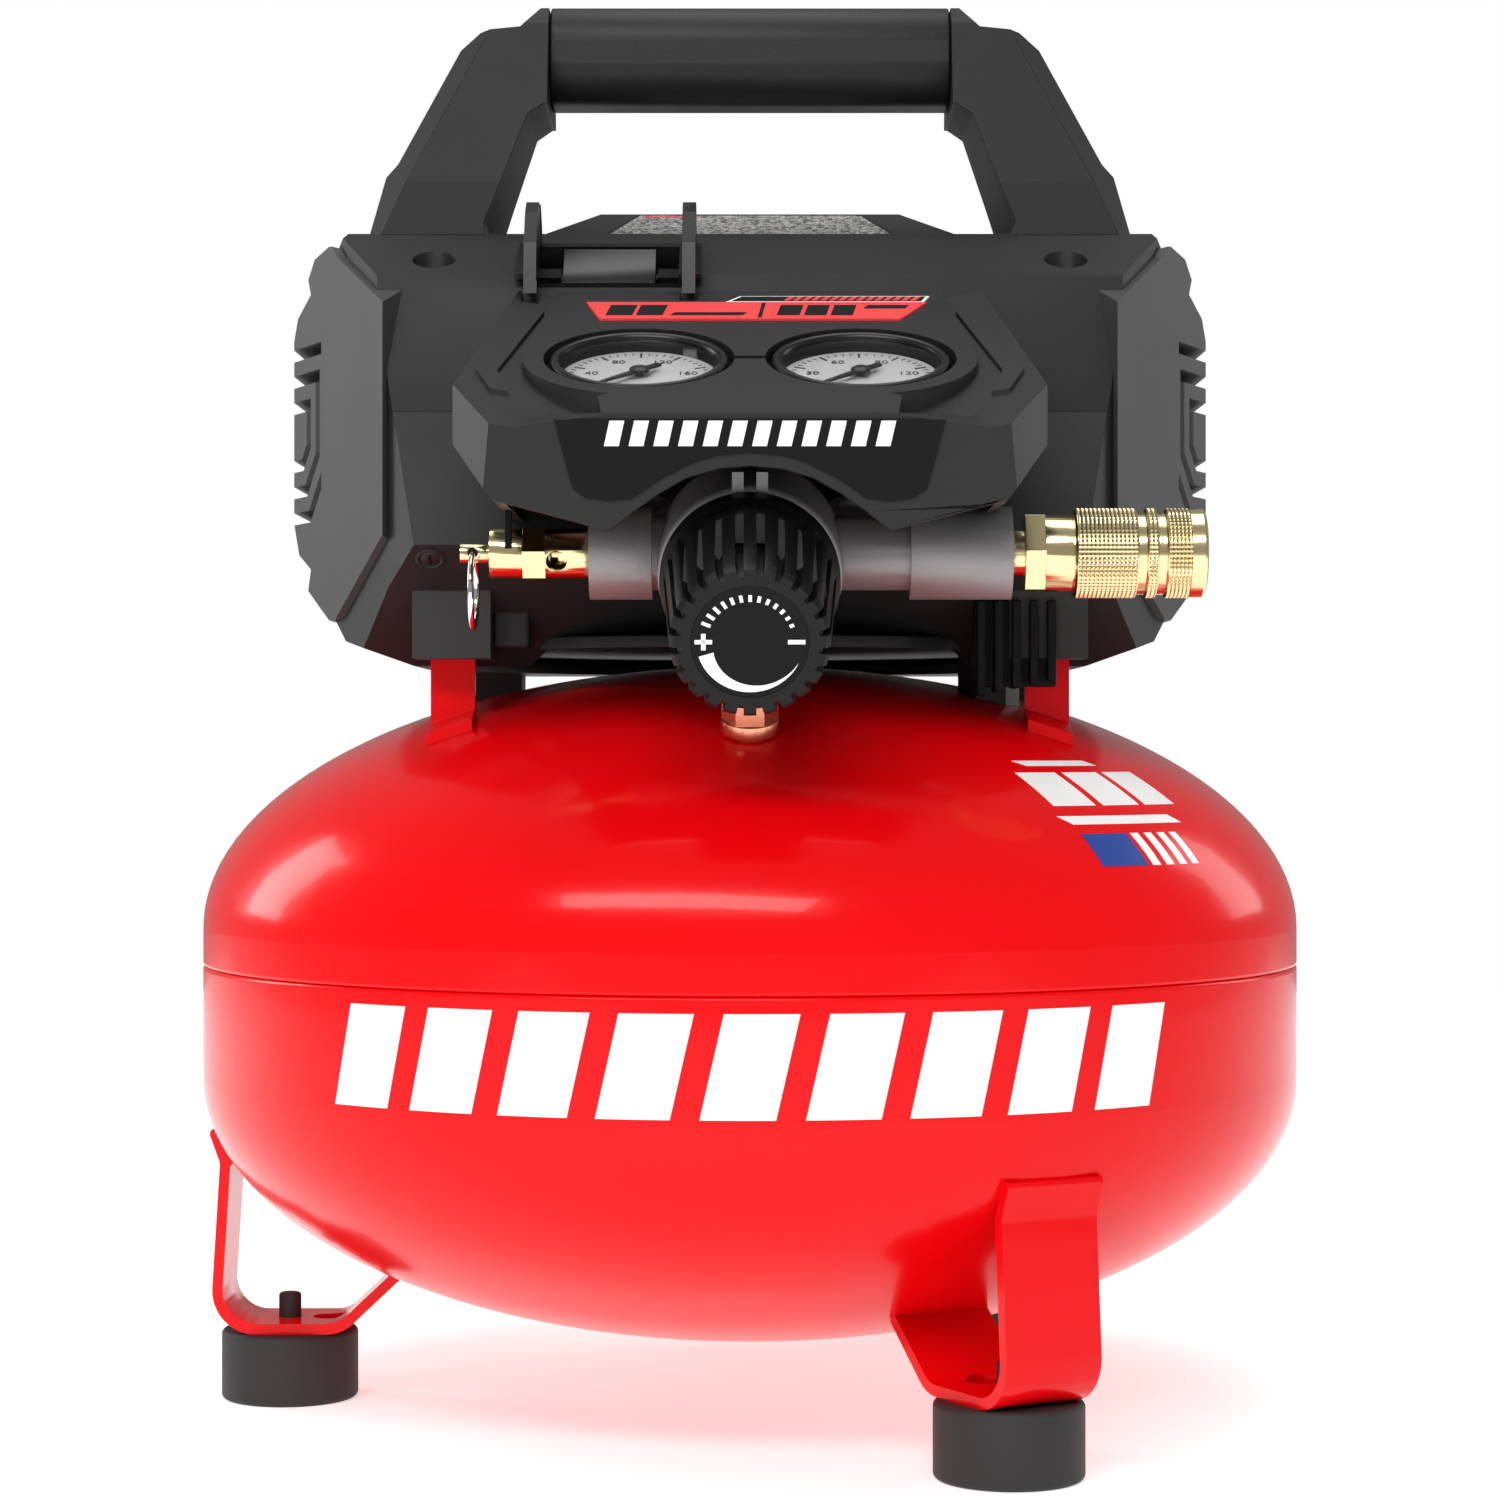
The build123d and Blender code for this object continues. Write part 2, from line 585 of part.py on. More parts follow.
NEEDLE_REST = 225.0
for side, sign in gauge_sides:
    turn = radians(NEEDLE_REST)
    pointing = panel_plane.x_dir * cos(turn) + panel_plane.y_dir * sin(turn)
    hub = panel_plane.origin + panel_plane.x_dir * (sign * GAUGE_X)
    needle_plane = Plane(origin=hub, x_dir=pointing, z_dir=panel_plane.z_dir)
    with BuildPart() as needle:
        with BuildSketch(needle_plane.offset(-4.4)):
            outline((-7, -0.9), (0, -1.1), (15.5, -0.25), (15.5, 0.25), (0, 1.1), (-7, 0.9))
            Circle(2.2)
        extrude(amount=0.6)
        with BuildSketch(needle_plane.offset(-12)):
            Circle(1.1)
        extrude(amount=7.8)
    save(needle, "needle_" + side)

# ---------------------------------------------------------------- power switch
with BuildPart() as switch_bezel:
    with BuildSketch(switch_plane.offset(0.1)):
        Rectangle(50, 25)
        Rectangle(BAY_W, BAY_H, mode=Mode.SUBTRACT)
    extrude(amount=1.6)
    for ear_x in EAR_X:
        with BuildSketch(Plane.YZ.offset(SWITCH_X + ear_x)):
            outline(*EAR_SIDE)
        extrude(amount=EAR_T)
    add(housing_outer.part, mode=Mode.SUBTRACT)
    with BuildSketch(switch_plane.offset(-14)):
        Rectangle(SWITCH_HOLE_W - 0.4, SWITCH_HOLE_H - 0.4)
    extrude(amount=15)
    with BuildSketch(switch_plane.offset(-12)):
        Rectangle(BAY_W, BAY_H)
    extrude(amount=40, mode=Mode.SUBTRACT)
    with BuildSketch(Plane.XY.offset(BAY_LIP_Z)):
        with Locations((SWITCH_X, -72)):
            Rectangle(BAY_W, 20)
    extrude(amount=30, mode=Mode.SUBTRACT)
    for sign in (-1, 1):
        with BuildSketch(switch_plane.offset(-13)):
            with Locations((sign * (SWITCH_W / 2 + 0.4 + BAY_W / 2) / 2, 0)):
                Rectangle(BAY_W / 2 - SWITCH_W / 2 - 0.4, 7)
        extrude(amount=10.5)
        with BuildSketch(Plane.YZ.offset(SWITCH_X + sign * (SWITCH_W / 2 - 3))):
            with Locations((rocker_hub.Y, rocker_hub.Z)):
                Circle(1.5)
        extrude(amount=sign * 4)
save(switch_bezel, "switch_bezel")

ROCKER_TILT = 12.0
rocker_lean = slope_lean + radians(ROCKER_TILT)
rocker_face = Plane(
    origin=(SWITCH_X - SWITCH_W / 2, rocker_hub.Y, rocker_hub.Z),
    x_dir=(0, cos(rocker_lean), sin(rocker_lean)), z_dir=(1, 0, 0))
with BuildPart() as power_rocker:
    with BuildSketch(rocker_face):
        with BuildLine():
            Polyline((8.6, 4.6), (6.5, -5), (-6.5, -5), (-8.6, 4.6))
            ThreePointArc((-8.6, 4.6), (0, 3.2), (8.6, 4.6))
        make_face()
        Circle(1.6, mode=Mode.SUBTRACT)
    extrude(amount=SWITCH_W)
save(power_rocker, "power_rocker")

# ---------------------------------------------------------------- manifold and regulator
TUBE_LEFT = -41.0
TUBE_RIGHT = 66.9
BELL_R = 23.5
COUPLER_THREAD_R = 6.0
VALVE_THREAD_R = 4.6

with BuildPart() as manifold:
    with BuildSketch(tube_plane.offset(TUBE_LEFT)):
        Circle(TUBE_R)
    extrude(amount=16)
    with BuildSketch(tube_plane.offset(TUBE_LEFT)):
        Circle(9.5)
    extrude(amount=TUBE_RIGHT - TUBE_LEFT)
    with BuildSketch(tube_plane.offset(TUBE_RIGHT - 26)):
        Circle(TUBE_R)
    extrude(amount=26)
    with BuildSketch(panel_plane.offset(-52)):
        with Locations((-GAUGE_X, 0), (GAUGE_X, 0)):
            Circle(8.0)
    extrude(amount=12)
    with BuildSketch(panel_plane.offset(-46.2)):
        with Locations((-GAUGE_X, 0), (GAUGE_X, 0)):
            Circle(5.1)
    extrude(amount=12, mode=Mode.SUBTRACT)
    with BuildSketch(tube_plane.offset(TUBE_RIGHT - 14)):
        Circle(COUPLER_THREAD_R)
    extrude(amount=20, mode=Mode.SUBTRACT)
    with BuildSketch(tube_plane.offset(TUBE_LEFT - 1)):
        Circle(VALVE_THREAD_R)
    extrude(amount=11, mode=Mode.SUBTRACT)
    with BuildSketch(tube_plane.offset(TUBE_LEFT + 5)):
        Circle(4.0)
    extrude(amount=TUBE_RIGHT - TUBE_LEFT - 12, mode=Mode.SUBTRACT)
    with BuildSketch(man_plane.offset(-6)):
        Circle(BELL_R + 0.1)
    extrude(amount=40, mode=Mode.SUBTRACT)
save(manifold, "manifold")

BELL_REAR = -6.0
BELL_FRONT = 17.5
SCREW_R = 4.0
with BuildPart() as regulator_body:
    with BuildSketch(man_plane.offset(BELL_REAR)):
        Circle(BELL_R)
    extrude(amount=BELL_FRONT - BELL_REAR)
    fillet(regulator_body.edges().filter_by(GeomType.CIRCLE), 1.8)
    with BuildSketch(bung_plane.offset(14.2)):
        Circle(5.8)
    extrude(amount=14)
    with BuildSketch(man_plane.offset(-2)):
        Circle(19)
    extrude(amount=16.5, mode=Mode.SUBTRACT)
    with BuildSketch(man_plane.offset(10)):
        RegularPolygon(radius=10.2, side_count=6)
    extrude(amount=20, mode=Mode.SUBTRACT)
    with BuildSketch(bung_plane.offset(10)):
        Circle(3.0)
    extrude(amount=26, mode=Mode.SUBTRACT)
    with BuildSketch(man_plane.offset(BELL_FRONT - 12)):
        with Locations((0, BELL_R + 1)):
            Rectangle(9, 6)
            Rectangle(3.2, 8, mode=Mode.SUBTRACT)
    extrude(amount=12)
save(regulator_body, "regulator_body")

with BuildPart() as regulator_diaphragm:
    with BuildSketch(man_plane.offset(-1.5)):
        Circle(18.6)
    extrude(amount=1.6)
    with BuildSketch(man_plane.offset(0.1)):
        Circle(7.5)
    extrude(amount=1.2)
save(regulator_diaphragm, "regulator_diaphragm")

COIL_PITCH = 2.6


def coil(plane, radius, wire, height, pitch):
    """An open spring wound about the plane's normal."""
    with BuildLine() as turn_path:
        Helix(pitch=pitch, height=height, radius=radius, center=plane.origin, direction=plane.z_dir)
    with BuildSketch(Plane(origin=turn_path.line @ 0, z_dir=turn_path.line % 0)) as wire_end:
        Circle(wire)
    sweep(wire_end.sketch, path=turn_path.line, is_frenet=True)


with BuildPart() as regulator_spring:
    coil(man_plane.offset(2.3), 6.0, 0.9, 7.2, COIL_PITCH)
save(regulator_spring, "regulator_spring")

with BuildPart() as adjusting_nut:
    with BuildSketch(man_plane.offset(11.0)):
        RegularPolygon(radius=9.8, side_count=6)
        Circle(SCREW_R + FIT, mode=Mode.SUBTRACT)
    extrude(amount=2.4)
save(adjusting_nut, "adjusting_nut")

SKIRT_R = 22.8
RIB_REAR_R = 21.7
RIB_FACE_R = 19.5
CORE_REAR_R = 19.4
CORE_FACE_R = 17.6
DISC_R = 14.2


def turned(points):
    """A half profile of (radius, distance along the knob's axis), in the plane of its axis."""
    return [(r, -s) for r, s in points]


knob_side = Plane(
    origin=(0, MAN_Y, MAN_Z), x_dir=(0, -sin(man_lean), cos(man_lean)), z_dir=(-1, 0, 0))
knob_axis = Axis((0, MAN_Y, MAN_Z), man_plane.z_dir)
with BuildPart() as knob_ribs:
    with BuildSketch(man_plane.offset(KNOB_REAR + 4)):
        with PolarLocations(18.6, KNOB_TEETH):
            Rectangle(9, 3.1)
        Circle(15, mode=Mode.SUBTRACT)
    extrude(amount=KNOB_FACE - KNOB_REAR - 4)
    with BuildSketch(knob_side):
        outline(*turned([(0, KNOB_REAR), (RIB_REAR_R + 0.2, KNOB_REAR), (RIB_REAR_R, KNOB_REAR + 6),
                         (RIB_FACE_R, KNOB_FACE - 1.2), (RIB_FACE_R - 1.2, KNOB_FACE), (0, KNOB_FACE)]))
    revolve(axis=knob_axis, mode=Mode.INTERSECT)

with BuildPart() as regulator_knob:
    with BuildSketch(knob_side):
        outline(*turned([(0, KNOB_REAR), (SKIRT_R, KNOB_REAR), (SKIRT_R, KNOB_REAR + 4),
                         (RIB_REAR_R, KNOB_REAR + 5.5), (CORE_REAR_R, KNOB_REAR + 8),
                         (CORE_FACE_R, KNOB_FACE - 1), (CORE_FACE_R - 1, KNOB_FACE), (0, KNOB_FACE)]))
    revolve(axis=knob_axis)
    add(knob_ribs.part)
    with BuildSketch(man_plane.offset(KNOB_FACE - 0.8)):
        Circle(DISC_R + 0.1)
    extrude(amount=2, mode=Mode.SUBTRACT)
    with BuildSketch(man_plane.offset(KNOB_REAR - 1)):
        Circle(SKIRT_R - 3)
        Circle(9, mode=Mode.SUBTRACT)
    extrude(amount=34, mode=Mode.SUBTRACT)
    with BuildSketch(man_plane.offset(6)):
        Circle(SCREW_R)
    extrude(amount=14)
save(regulator_knob, "regulator_knob")

with BuildPart() as knob_cap:
    with BuildSketch(man_plane.offset(KNOB_FACE - 0.8)):
        Circle(DISC_R)
    extrude(amount=0.7)
save(knob_cap, "knob_cap")

# ---------------------------------------------------------------- safety valve
VALVE_SEAT_X = -41.0
VALVE_HEX_X = -52.3
VALVE_NECK_X = -58.1
VALVE_END_X = -66.6
STEM_END_X = -74.3
RING_X = -71.0
RING_R = 9.5
RING_WIRE = 0.8

with BuildPart() as safety_valve_body:
    with BuildSketch(tube_plane.offset(VALVE_SEAT_X + 8)):
        Circle(VALVE_THREAD_R - FIT)
    extrude(amount=-9)
    with BuildSketch(tube_plane.offset(VALVE_SEAT_X - 0.2)):
        Circle(6.4)
    extrude(amount=VALVE_END_X - VALVE_SEAT_X + 0.2)
    with BuildSketch(tube_plane.offset(VALVE_HEX_X)):
        RegularPolygon(radius=7.6, side_count=6)
    extrude(amount=VALVE_NECK_X - VALVE_HEX_X)
    with BuildSketch(man_plane.offset(-10)):
        with Locations((VALVE_HEX_X + 2.9, 0)):
            Circle(2.7)
    extrude(amount=20, mode=Mode.SUBTRACT)
    with BuildSketch(tube_plane.offset(VALVE_SEAT_X - 3)):
        Circle(4.2)
    extrude(amount=-20.6, mode=Mode.SUBTRACT)
    with BuildSketch(tube_plane.offset(VALVE_END_X - 1)):
        Circle(2.1 + FIT)
    extrude(amount=30, mode=Mode.SUBTRACT)
save(safety_valve_body, "safety_valve_body")

with BuildPart() as safety_valve_stem:
    with BuildSketch(tube_plane.offset(VALVE_SEAT_X - 6)):
        Circle(2.1)
    extrude(amount=STEM_END_X - VALVE_SEAT_X + 6)
    with BuildSketch(tube_plane.offset(VALVE_SEAT_X - 5)):
        Circle(3.9)
    extrude(amount=-3)
    with BuildSketch(tube_plane.offset(VALVE_END_X - 0.6)):
        Circle(2.5)
    extrude(amount=STEM_END_X - VALVE_END_X + 0.6)
    with BuildSketch(Plane.XZ.offset(-MAN_Y - 10)):
        with Locations((RING_X, MAN_Z)):
            Circle(1.35)
    extrude(amount=20, mode=Mode.SUBTRACT)
save(safety_valve_stem, "safety_valve_stem")

with BuildPart() as safety_valve_spring:
    coil(tube_plane.offset(-62.6), 3.1, 0.45, 12.6, 2.1)
save(safety_valve_spring, "safety_valve_spring")

with BuildPart() as pull_ring:
    with BuildSketch(Plane.XZ.offset(-MAN_Y)):
        with Locations((RING_X, MAN_Z)):
            Circle(RING_WIRE)
    revolve(axis=Axis((RING_X, MAN_Y, MAN_Z - RING_R), (1, 0, 0)))
save(pull_ring, "pull_ring")

# ---------------------------------------------------------------- quick coupler
COUPLER_HEX_X = 70.2
COUPLER_NECK_X = 75.3
SLEEVE_X = 82.7
COUPLER_END_X = 116.5
SLEEVE_R = 11.5
SLEEVE_STROKE = 6.0
PLUG_R = 6.1
PLUG_DEPTH = 24.0

with BuildPart() as coupler_body:
    with BuildSketch(tube_plane.offset(TUBE_RIGHT - 11)):
        Circle(COUPLER_THREAD_R - FIT)
    extrude(amount=COUPLER_HEX_X - TUBE_RIGHT + 11)
    with BuildSketch(tube_plane.offset(COUPLER_HEX_X)):
        RegularPolygon(radius=11, side_count=6)
    extrude(amount=COUPLER_NECK_X - COUPLER_HEX_X)
    with BuildSketch(tube_plane.offset(COUPLER_NECK_X)):
        Circle(9.85)
    extrude(amount=13)
    with BuildSketch(tube_plane.offset(COUPLER_NECK_X)):
        Circle(8.2)
    extrude(amount=COUPLER_END_X - COUPLER_NECK_X - 0.8)
    with BuildSketch(tube_plane.offset(COUPLER_END_X - 0.8)):
        Circle(PLUG_R)
    extrude(amount=-PLUG_DEPTH, mode=Mode.SUBTRACT)
    with BuildSketch(tube_plane.offset(COUPLER_END_X)):
        Circle(2.8)
    extrude(amount=-80, mode=Mode.SUBTRACT)
save(coupler_body, "coupler_body")

with BuildPart() as coupler_sleeve:
    with BuildSketch(tube_plane.offset(SLEEVE_X)):
        Circle(SLEEVE_R)
    extrude(amount=COUPLER_END_X - SLEEVE_X)
    chamfer(coupler_sleeve.edges().filter_by(GeomType.CIRCLE), 0.8)
    for groove_x in (98.6, 103.7):
        with BuildSketch(tube_plane.offset(groove_x)):
            Circle(SLEEVE_R + 1)
            Circle(SLEEVE_R - 0.9, mode=Mode.SUBTRACT)
        extrude(amount=2.6, mode=Mode.SUBTRACT)
    with BuildSketch(tube_plane.offset(SLEEVE_X - 1)):
        Circle(9.85 + FIT)
    extrude(amount=COUPLER_END_X - 9 - SLEEVE_X, mode=Mode.SUBTRACT)
    with BuildSketch(tube_plane.offset(SLEEVE_X - 1)):
        Circle(8.2 + FIT)
    extrude(amount=COUPLER_END_X, mode=Mode.SUBTRACT)
save(coupler_sleeve, "coupler_sleeve")

with BuildPart() as coupler_spring:
    coil(tube_plane.offset(89.2), 9.05, 0.5, 15.4, 3.0)
save(coupler_spring, "coupler_spring")

# ---------------------------------------------------------------- tank brackets and rubber mounts
BRACKET_X = 80.4
BRACKET_W = 12.0
BRACKET_Y = 60.0
FRONT_BRACKET_TOP = 213.5
REAR_BRACKET_TOP = 206.0
corners = [(sign_x, sign_y) for sign_x in (-1, 1) for sign_y in (-1, 1)]

with BuildPart() as dome_space:
    with BuildSketch(Plane.XZ):
        dome_profile(TANK_R + 0.02, DOME_H + 0.02, BAND_TOP, True)
    revolve(axis=Axis.Z)

with BuildPart() as mount_brackets:
    with BuildSketch(Plane.XZ):
        dome_profile(TANK_R + STRAP_T, DOME_H + STRAP_T, BAND_TOP, True)
    revolve(axis=Axis.Z)
    with BuildSketch(Plane.XY.offset(150)):
        for sign_x, sign_y in corners:
            with Locations((sign_x * BRACKET_X, sign_y * (BRACKET_Y + 5.5))):
                Rectangle(BRACKET_W, 14)
    extrude(amount=100, mode=Mode.INTERSECT)
    for sign_x, sign_y in corners:
        top = FRONT_BRACKET_TOP if sign_y < 0 else REAR_BRACKET_TOP
        with BuildSketch(Plane.XY.offset(180)):
            with Locations((sign_x * BRACKET_X, sign_y * BRACKET_Y)):
                Rectangle(BRACKET_W, STRAP_T)
        extrude(amount=top - 180)
    add(dome_space.part, mode=Mode.SUBTRACT)
save(mount_brackets, "mount_brackets")

with BuildPart() as isolators:
    for sign_x, sign_y in corners:
        low = FRONT_BRACKET_TOP if sign_y < 0 else REAR_BRACKET_TOP - 6
        high = 229 if sign_y < 0 else FLOOR_Z
        with BuildSketch(Plane.XY.offset(low - 3)):
            with Locations((sign_x * 79.8, sign_y * (BRACKET_Y + 5))):
                Rectangle(21, 18)
        extrude(amount=high - low + 3)
    add(housing_outer.part, mode=Mode.SUBTRACT)
    add(mount_brackets.part, mode=Mode.SUBTRACT)
save(isolators, "isolators")

with BuildPart() as top_inlay:
    with BuildSketch(Plane.YZ):
        outline((-5.5, 334.1), (22, 344.0), (22, 345.2), (-5.5, 335.3))
    extrude(amount=37, both=True)
    add(bump.part, mode=Mode.SUBTRACT)
    with BuildSketch(Plane.YZ):
        outline((-5.5, 332.6), (21.8, 342.6), (21.8, 344.2), (-5.5, 334.3))
    extrude(amount=37.6, both=True)
    add(housing_upper.part, mode=Mode.SUBTRACT)
save(top_inlay, "top_inlay")

with BuildPart() as housing_screws:
    with BuildSketch(Plane.XY.offset(SEAT_Z + 0.05)):
        with Locations(*SCREW_SPOTS):
            Circle(4.2)
    extrude(amount=3)
    with BuildSketch(Plane.XY.offset(SEAT_Z - 20)):
        with Locations(*SCREW_SPOTS):
            Circle(2.1)
    extrude(amount=21)
    with BuildSketch(Plane.XY.offset(SEAT_Z + 1.4)):
        with Locations(*SCREW_SPOTS):
            RegularPolygon(radius=2.2, side_count=6)
    extrude(amount=5, mode=Mode.SUBTRACT)
save(housing_screws, "housing_screws")

# ---------------------------------------------------------------- pump
crank_plane = Plane(origin=(0, CRANK_Y, CRANK_Z), x_dir=(0, 1, 0), z_dir=(1, 0, 0))
cylinder_plane = Plane(origin=(PUMP_X, 0, CRANK_Z), x_dir=(1, 0, 0), z_dir=(0, 1, 0))
CRANK_R = STROKE / 2
PIN_Y = CRANK_Y - CRANK_R
SMALL_END_Y = PIN_Y - ROD_LENGTH
CASE_LEFT = -8.0
CASE_RIGHT = 50.0
CASE_FRONT = 4.0
CASE_REAR = 81.0
CASE_LOW = 237.0
CASE_TOP = 299.0
CASE_WALL = 4.0
SHAFT_R = 4.0
BEARING_R = 9.5
MOTOR_LEFT = -68.0
MOTOR_RIGHT = -12.0
MOTOR_R = 31.0
PIN_R = 4.0
ROD_LEFT = 16.0
ROD_RIGHT = 26.0
PISTON_H = 32.0

with BuildPart() as crankcase:
    with BuildSketch(Plane.XY.offset(CASE_LOW)):
        with Locations(((CASE_LEFT + CASE_RIGHT) / 2, (CASE_FRONT + CASE_REAR) / 2)):
            Rectangle(CASE_RIGHT - CASE_LEFT, CASE_REAR - CASE_FRONT)
    extrude(amount=CASE_TOP - CASE_LOW)
    with BuildSketch(Plane.XY.offset(CASE_LOW + CASE_WALL)):
        with Locations(((CASE_LEFT + CASE_RIGHT + CASE_WALL) / 2, (CASE_FRONT + CASE_REAR) / 2)):
            Rectangle(CASE_RIGHT - CASE_LEFT - CASE_WALL, CASE_REAR - CASE_FRONT - 2 * CASE_WALL)
    extrude(amount=CASE_TOP - CASE_LOW - 2 * CASE_WALL, mode=Mode.SUBTRACT)
    with BuildSketch(cylinder_plane.offset(CASE_FRONT - 1)):
        Circle(BORE_R + 1)
    extrude(amount=CASE_WALL + 2, mode=Mode.SUBTRACT)
    with BuildSketch(crank_plane.offset(CASE_LEFT - 3)):
        Circle(BEARING_R + 3)
    extrude(amount=3)
    with BuildSketch(crank_plane.offset(CASE_LEFT - 4)):
        Circle(BEARING_R)
    extrude(amount=CASE_WALL + 4, mode=Mode.SUBTRACT)
    for foot_y in (CASE_FRONT + 8, CASE_REAR - 12):
        with BuildSketch(Plane.XY.offset(FLOOR_Z + 7.6)):
            with Locations(((CASE_LEFT + CASE_RIGHT) / 2, foot_y)):
                Rectangle(CASE_RIGHT - CASE_LEFT - 10, 5)
        extrude(amount=CASE_LOW - FLOOR_Z - 7)
save(crankcase, "crankcase")

with BuildPart() as motor_can:
    with BuildSketch(crank_plane.offset(MOTOR_LEFT)):
        Circle(MOTOR_R)
        Circle(SHAFT_R + 4, mode=Mode.SUBTRACT)
    extrude(amount=MOTOR_RIGHT - MOTOR_LEFT)
    with BuildSketch(crank_plane.offset(MOTOR_LEFT + 10)):
        Circle(MOTOR_R - 2.5)
    extrude(amount=MOTOR_RIGHT - MOTOR_LEFT - 12, mode=Mode.SUBTRACT)
    with BuildSketch(crank_plane.offset(MOTOR_LEFT + 14)):
        Circle(MOTOR_R - 2)
        Circle(17, mode=Mode.SUBTRACT)
        with PolarLocations(23, 9):
            SlotOverall(10, 4, rotation=0, mode=Mode.SUBTRACT)
    extrude(amount=32)
    with BuildSketch(crank_plane.offset(MOTOR_LEFT - 1)):
        Circle(BEARING_R)
    extrude(amount=7, mode=Mode.SUBTRACT)
    with BuildSketch(crank_plane.offset(MOTOR_RIGHT - 3)):
        Circle(BEARING_R + 3.2)
    extrude(amount=6, mode=Mode.SUBTRACT)
save(motor_can, "motor_can")

with BuildPart() as shaft_bearings:
    for left, length in ((MOTOR_LEFT, 6), (CASE_LEFT - 2.5, 6)):
        with BuildSketch(crank_plane.offset(left)):
            Circle(BEARING_R - 0.02)
            Circle(SHAFT_R + FIT, mode=Mode.SUBTRACT)
        extrude(amount=length)
save(shaft_bearings, "shaft_bearings")

with BuildPart() as crank_shaft:
    with BuildSketch(crank_plane.offset(-92)):
        Circle(SHAFT_R)
    extrude(amount=92 + 8)
    with BuildSketch(crank_plane.offset(MOTOR_LEFT + 14)):
        Circle(16)
    extrude(amount=32)
    with BuildSketch(crank_plane.offset(5)):
        Circle(12)
        with Locations((-CRANK_R, 0)):
            Circle(8)
        with BuildLine():
            CenterArc((0, 0), 24, -60, 120)
            Polyline((24 * cos(radians(60)), 24 * sin(radians(60))), (0, 0),
                     (24 * cos(radians(60)), -24 * sin(radians(60))))
        make_face()
    extrude(amount=10)
    with BuildSketch(crank_plane.offset(14)):
        with Locations((-CRANK_R, 0)):
            Circle(PIN_R)
    extrude(amount=15)
save(crank_shaft, "crank_shaft")

FAN_X = -88.0
FAN_R = 33.0
with BuildPart() as cooling_fan:
    with BuildSketch(crank_plane.offset(FAN_X)):
        Circle(12)
        Circle(SHAFT_R, mode=Mode.SUBTRACT)
    extrude(amount=14)
    for blade in range(9):
        with BuildSketch(crank_plane.offset(FAN_X)):
            with Locations(Location((0, 0), blade * 40)):
                with Locations((FAN_R / 2 + 5, 0)):
                    Rectangle(FAN_R - 10, 2.2)
        extrude(amount=12)
    with BuildSketch(crank_plane.offset(FAN_X + 12)):
        Circle(FAN_R)
        Circle(11, mode=Mode.SUBTRACT)
    extrude(amount=2)
save(cooling_fan, "cooling_fan")

rod_plane = Plane(origin=(ROD_LEFT, 0, CRANK_Z), x_dir=(0, 1, 0), z_dir=(1, 0, 0))
with BuildPart() as connecting_rod:
    with BuildSketch(rod_plane):
        with Locations((PIN_Y, 0)):
            Circle(9.5)
        with Locations((SMALL_END_Y, 0)):
            Circle(6.5)
        with Locations(((PIN_Y + SMALL_END_Y) / 2, 0)):
            Rectangle(ROD_LENGTH, 8)
        with Locations((PIN_Y, 0)):
            Circle(PIN_R + FIT, mode=Mode.SUBTRACT)
    extrude(amount=ROD_RIGHT - ROD_LEFT)
    with BuildSketch(Plane(origin=(PUMP_X - 9, 0, CRANK_Z), x_dir=(0, 1, 0), z_dir=(1, 0, 0))):
        with Locations((SMALL_END_Y, 0)):
            Circle(3.5)
    extrude(amount=18)
save(connecting_rod, "connecting_rod")

with BuildPart() as piston:
    with BuildSketch(cylinder_plane.offset(CROWN_Y + 0.6)):
        Circle(BORE_R - FIT)
    extrude(amount=PISTON_H)
    with BuildSketch(cylinder_plane.offset(CROWN_Y + 5.6)):
        Circle(19)
    extrude(amount=PISTON_H, mode=Mode.SUBTRACT)
    with BuildSketch(cylinder_plane.offset(CROWN_Y + 2.6)):
        Circle(BORE_R + 1)
        Circle(BORE_R - 1.2, mode=Mode.SUBTRACT)
    extrude(amount=1.2, mode=Mode.SUBTRACT)
    for sign in (-1, 1):
        with BuildSketch(Plane.YZ.offset(PUMP_X + sign * 12)):
            with Locations((SMALL_END_Y, CRANK_Z)):
                Circle(6)
                Circle(3.55, mode=Mode.SUBTRACT)
        extrude(amount=sign * 7.5)
save(piston, "piston")

with BuildPart() as cylinder:
    with BuildSketch(cylinder_plane.offset(CROWN_Y)):
        Circle(BORE_R + 4)
        Circle(BORE_R, mode=Mode.SUBTRACT)
    extrude(amount=CASE_FRONT - CROWN_Y - 0.05)
    for fin in range(5):
        with BuildSketch(cylinder_plane.offset(CROWN_Y + 3 + 6 * fin)):
            Circle(BORE_R + 8.5)
            Circle(BORE_R + 3, mode=Mode.SUBTRACT)
        extrude(amount=1.8)
save(cylinder, "cylinder")

with BuildPart() as cylinder_head:
    with BuildSketch(cylinder_plane.offset(CROWN_Y - 3.1)):
        RectangleRounded(52, 52, 8)
    extrude(amount=3)
    with BuildSketch(cylinder_plane.offset(CROWN_Y - 18)):
        RectangleRounded(46, 46, 8)
    extrude(amount=15)
    for fin in range(6):
        with BuildSketch(cylinder_plane.offset(CROWN_Y - 19)):
            with Locations((0, -17.5 + 7 * fin)):
                Rectangle(50, 4.4)
        extrude(amount=9, mode=Mode.SUBTRACT)
    with BuildSketch(Plane.XY.offset(CRANK_Z + 22)):
        with Locations((PUMP_X, CROWN_Y - 8)):
            Circle(6)
    extrude(amount=9)
save(cylinder_head, "cylinder_head")

with BuildPart() as intake_filter:
    with BuildSketch(Plane.XY.offset(CRANK_Z + 31.1)):
        with Locations((PUMP_X, CROWN_Y - 8)):
            Circle(12)
    extrude(amount=18)
    fillet(intake_filter.edges().filter_by(GeomType.CIRCLE), 1.5)
save(intake_filter, "intake_filter")

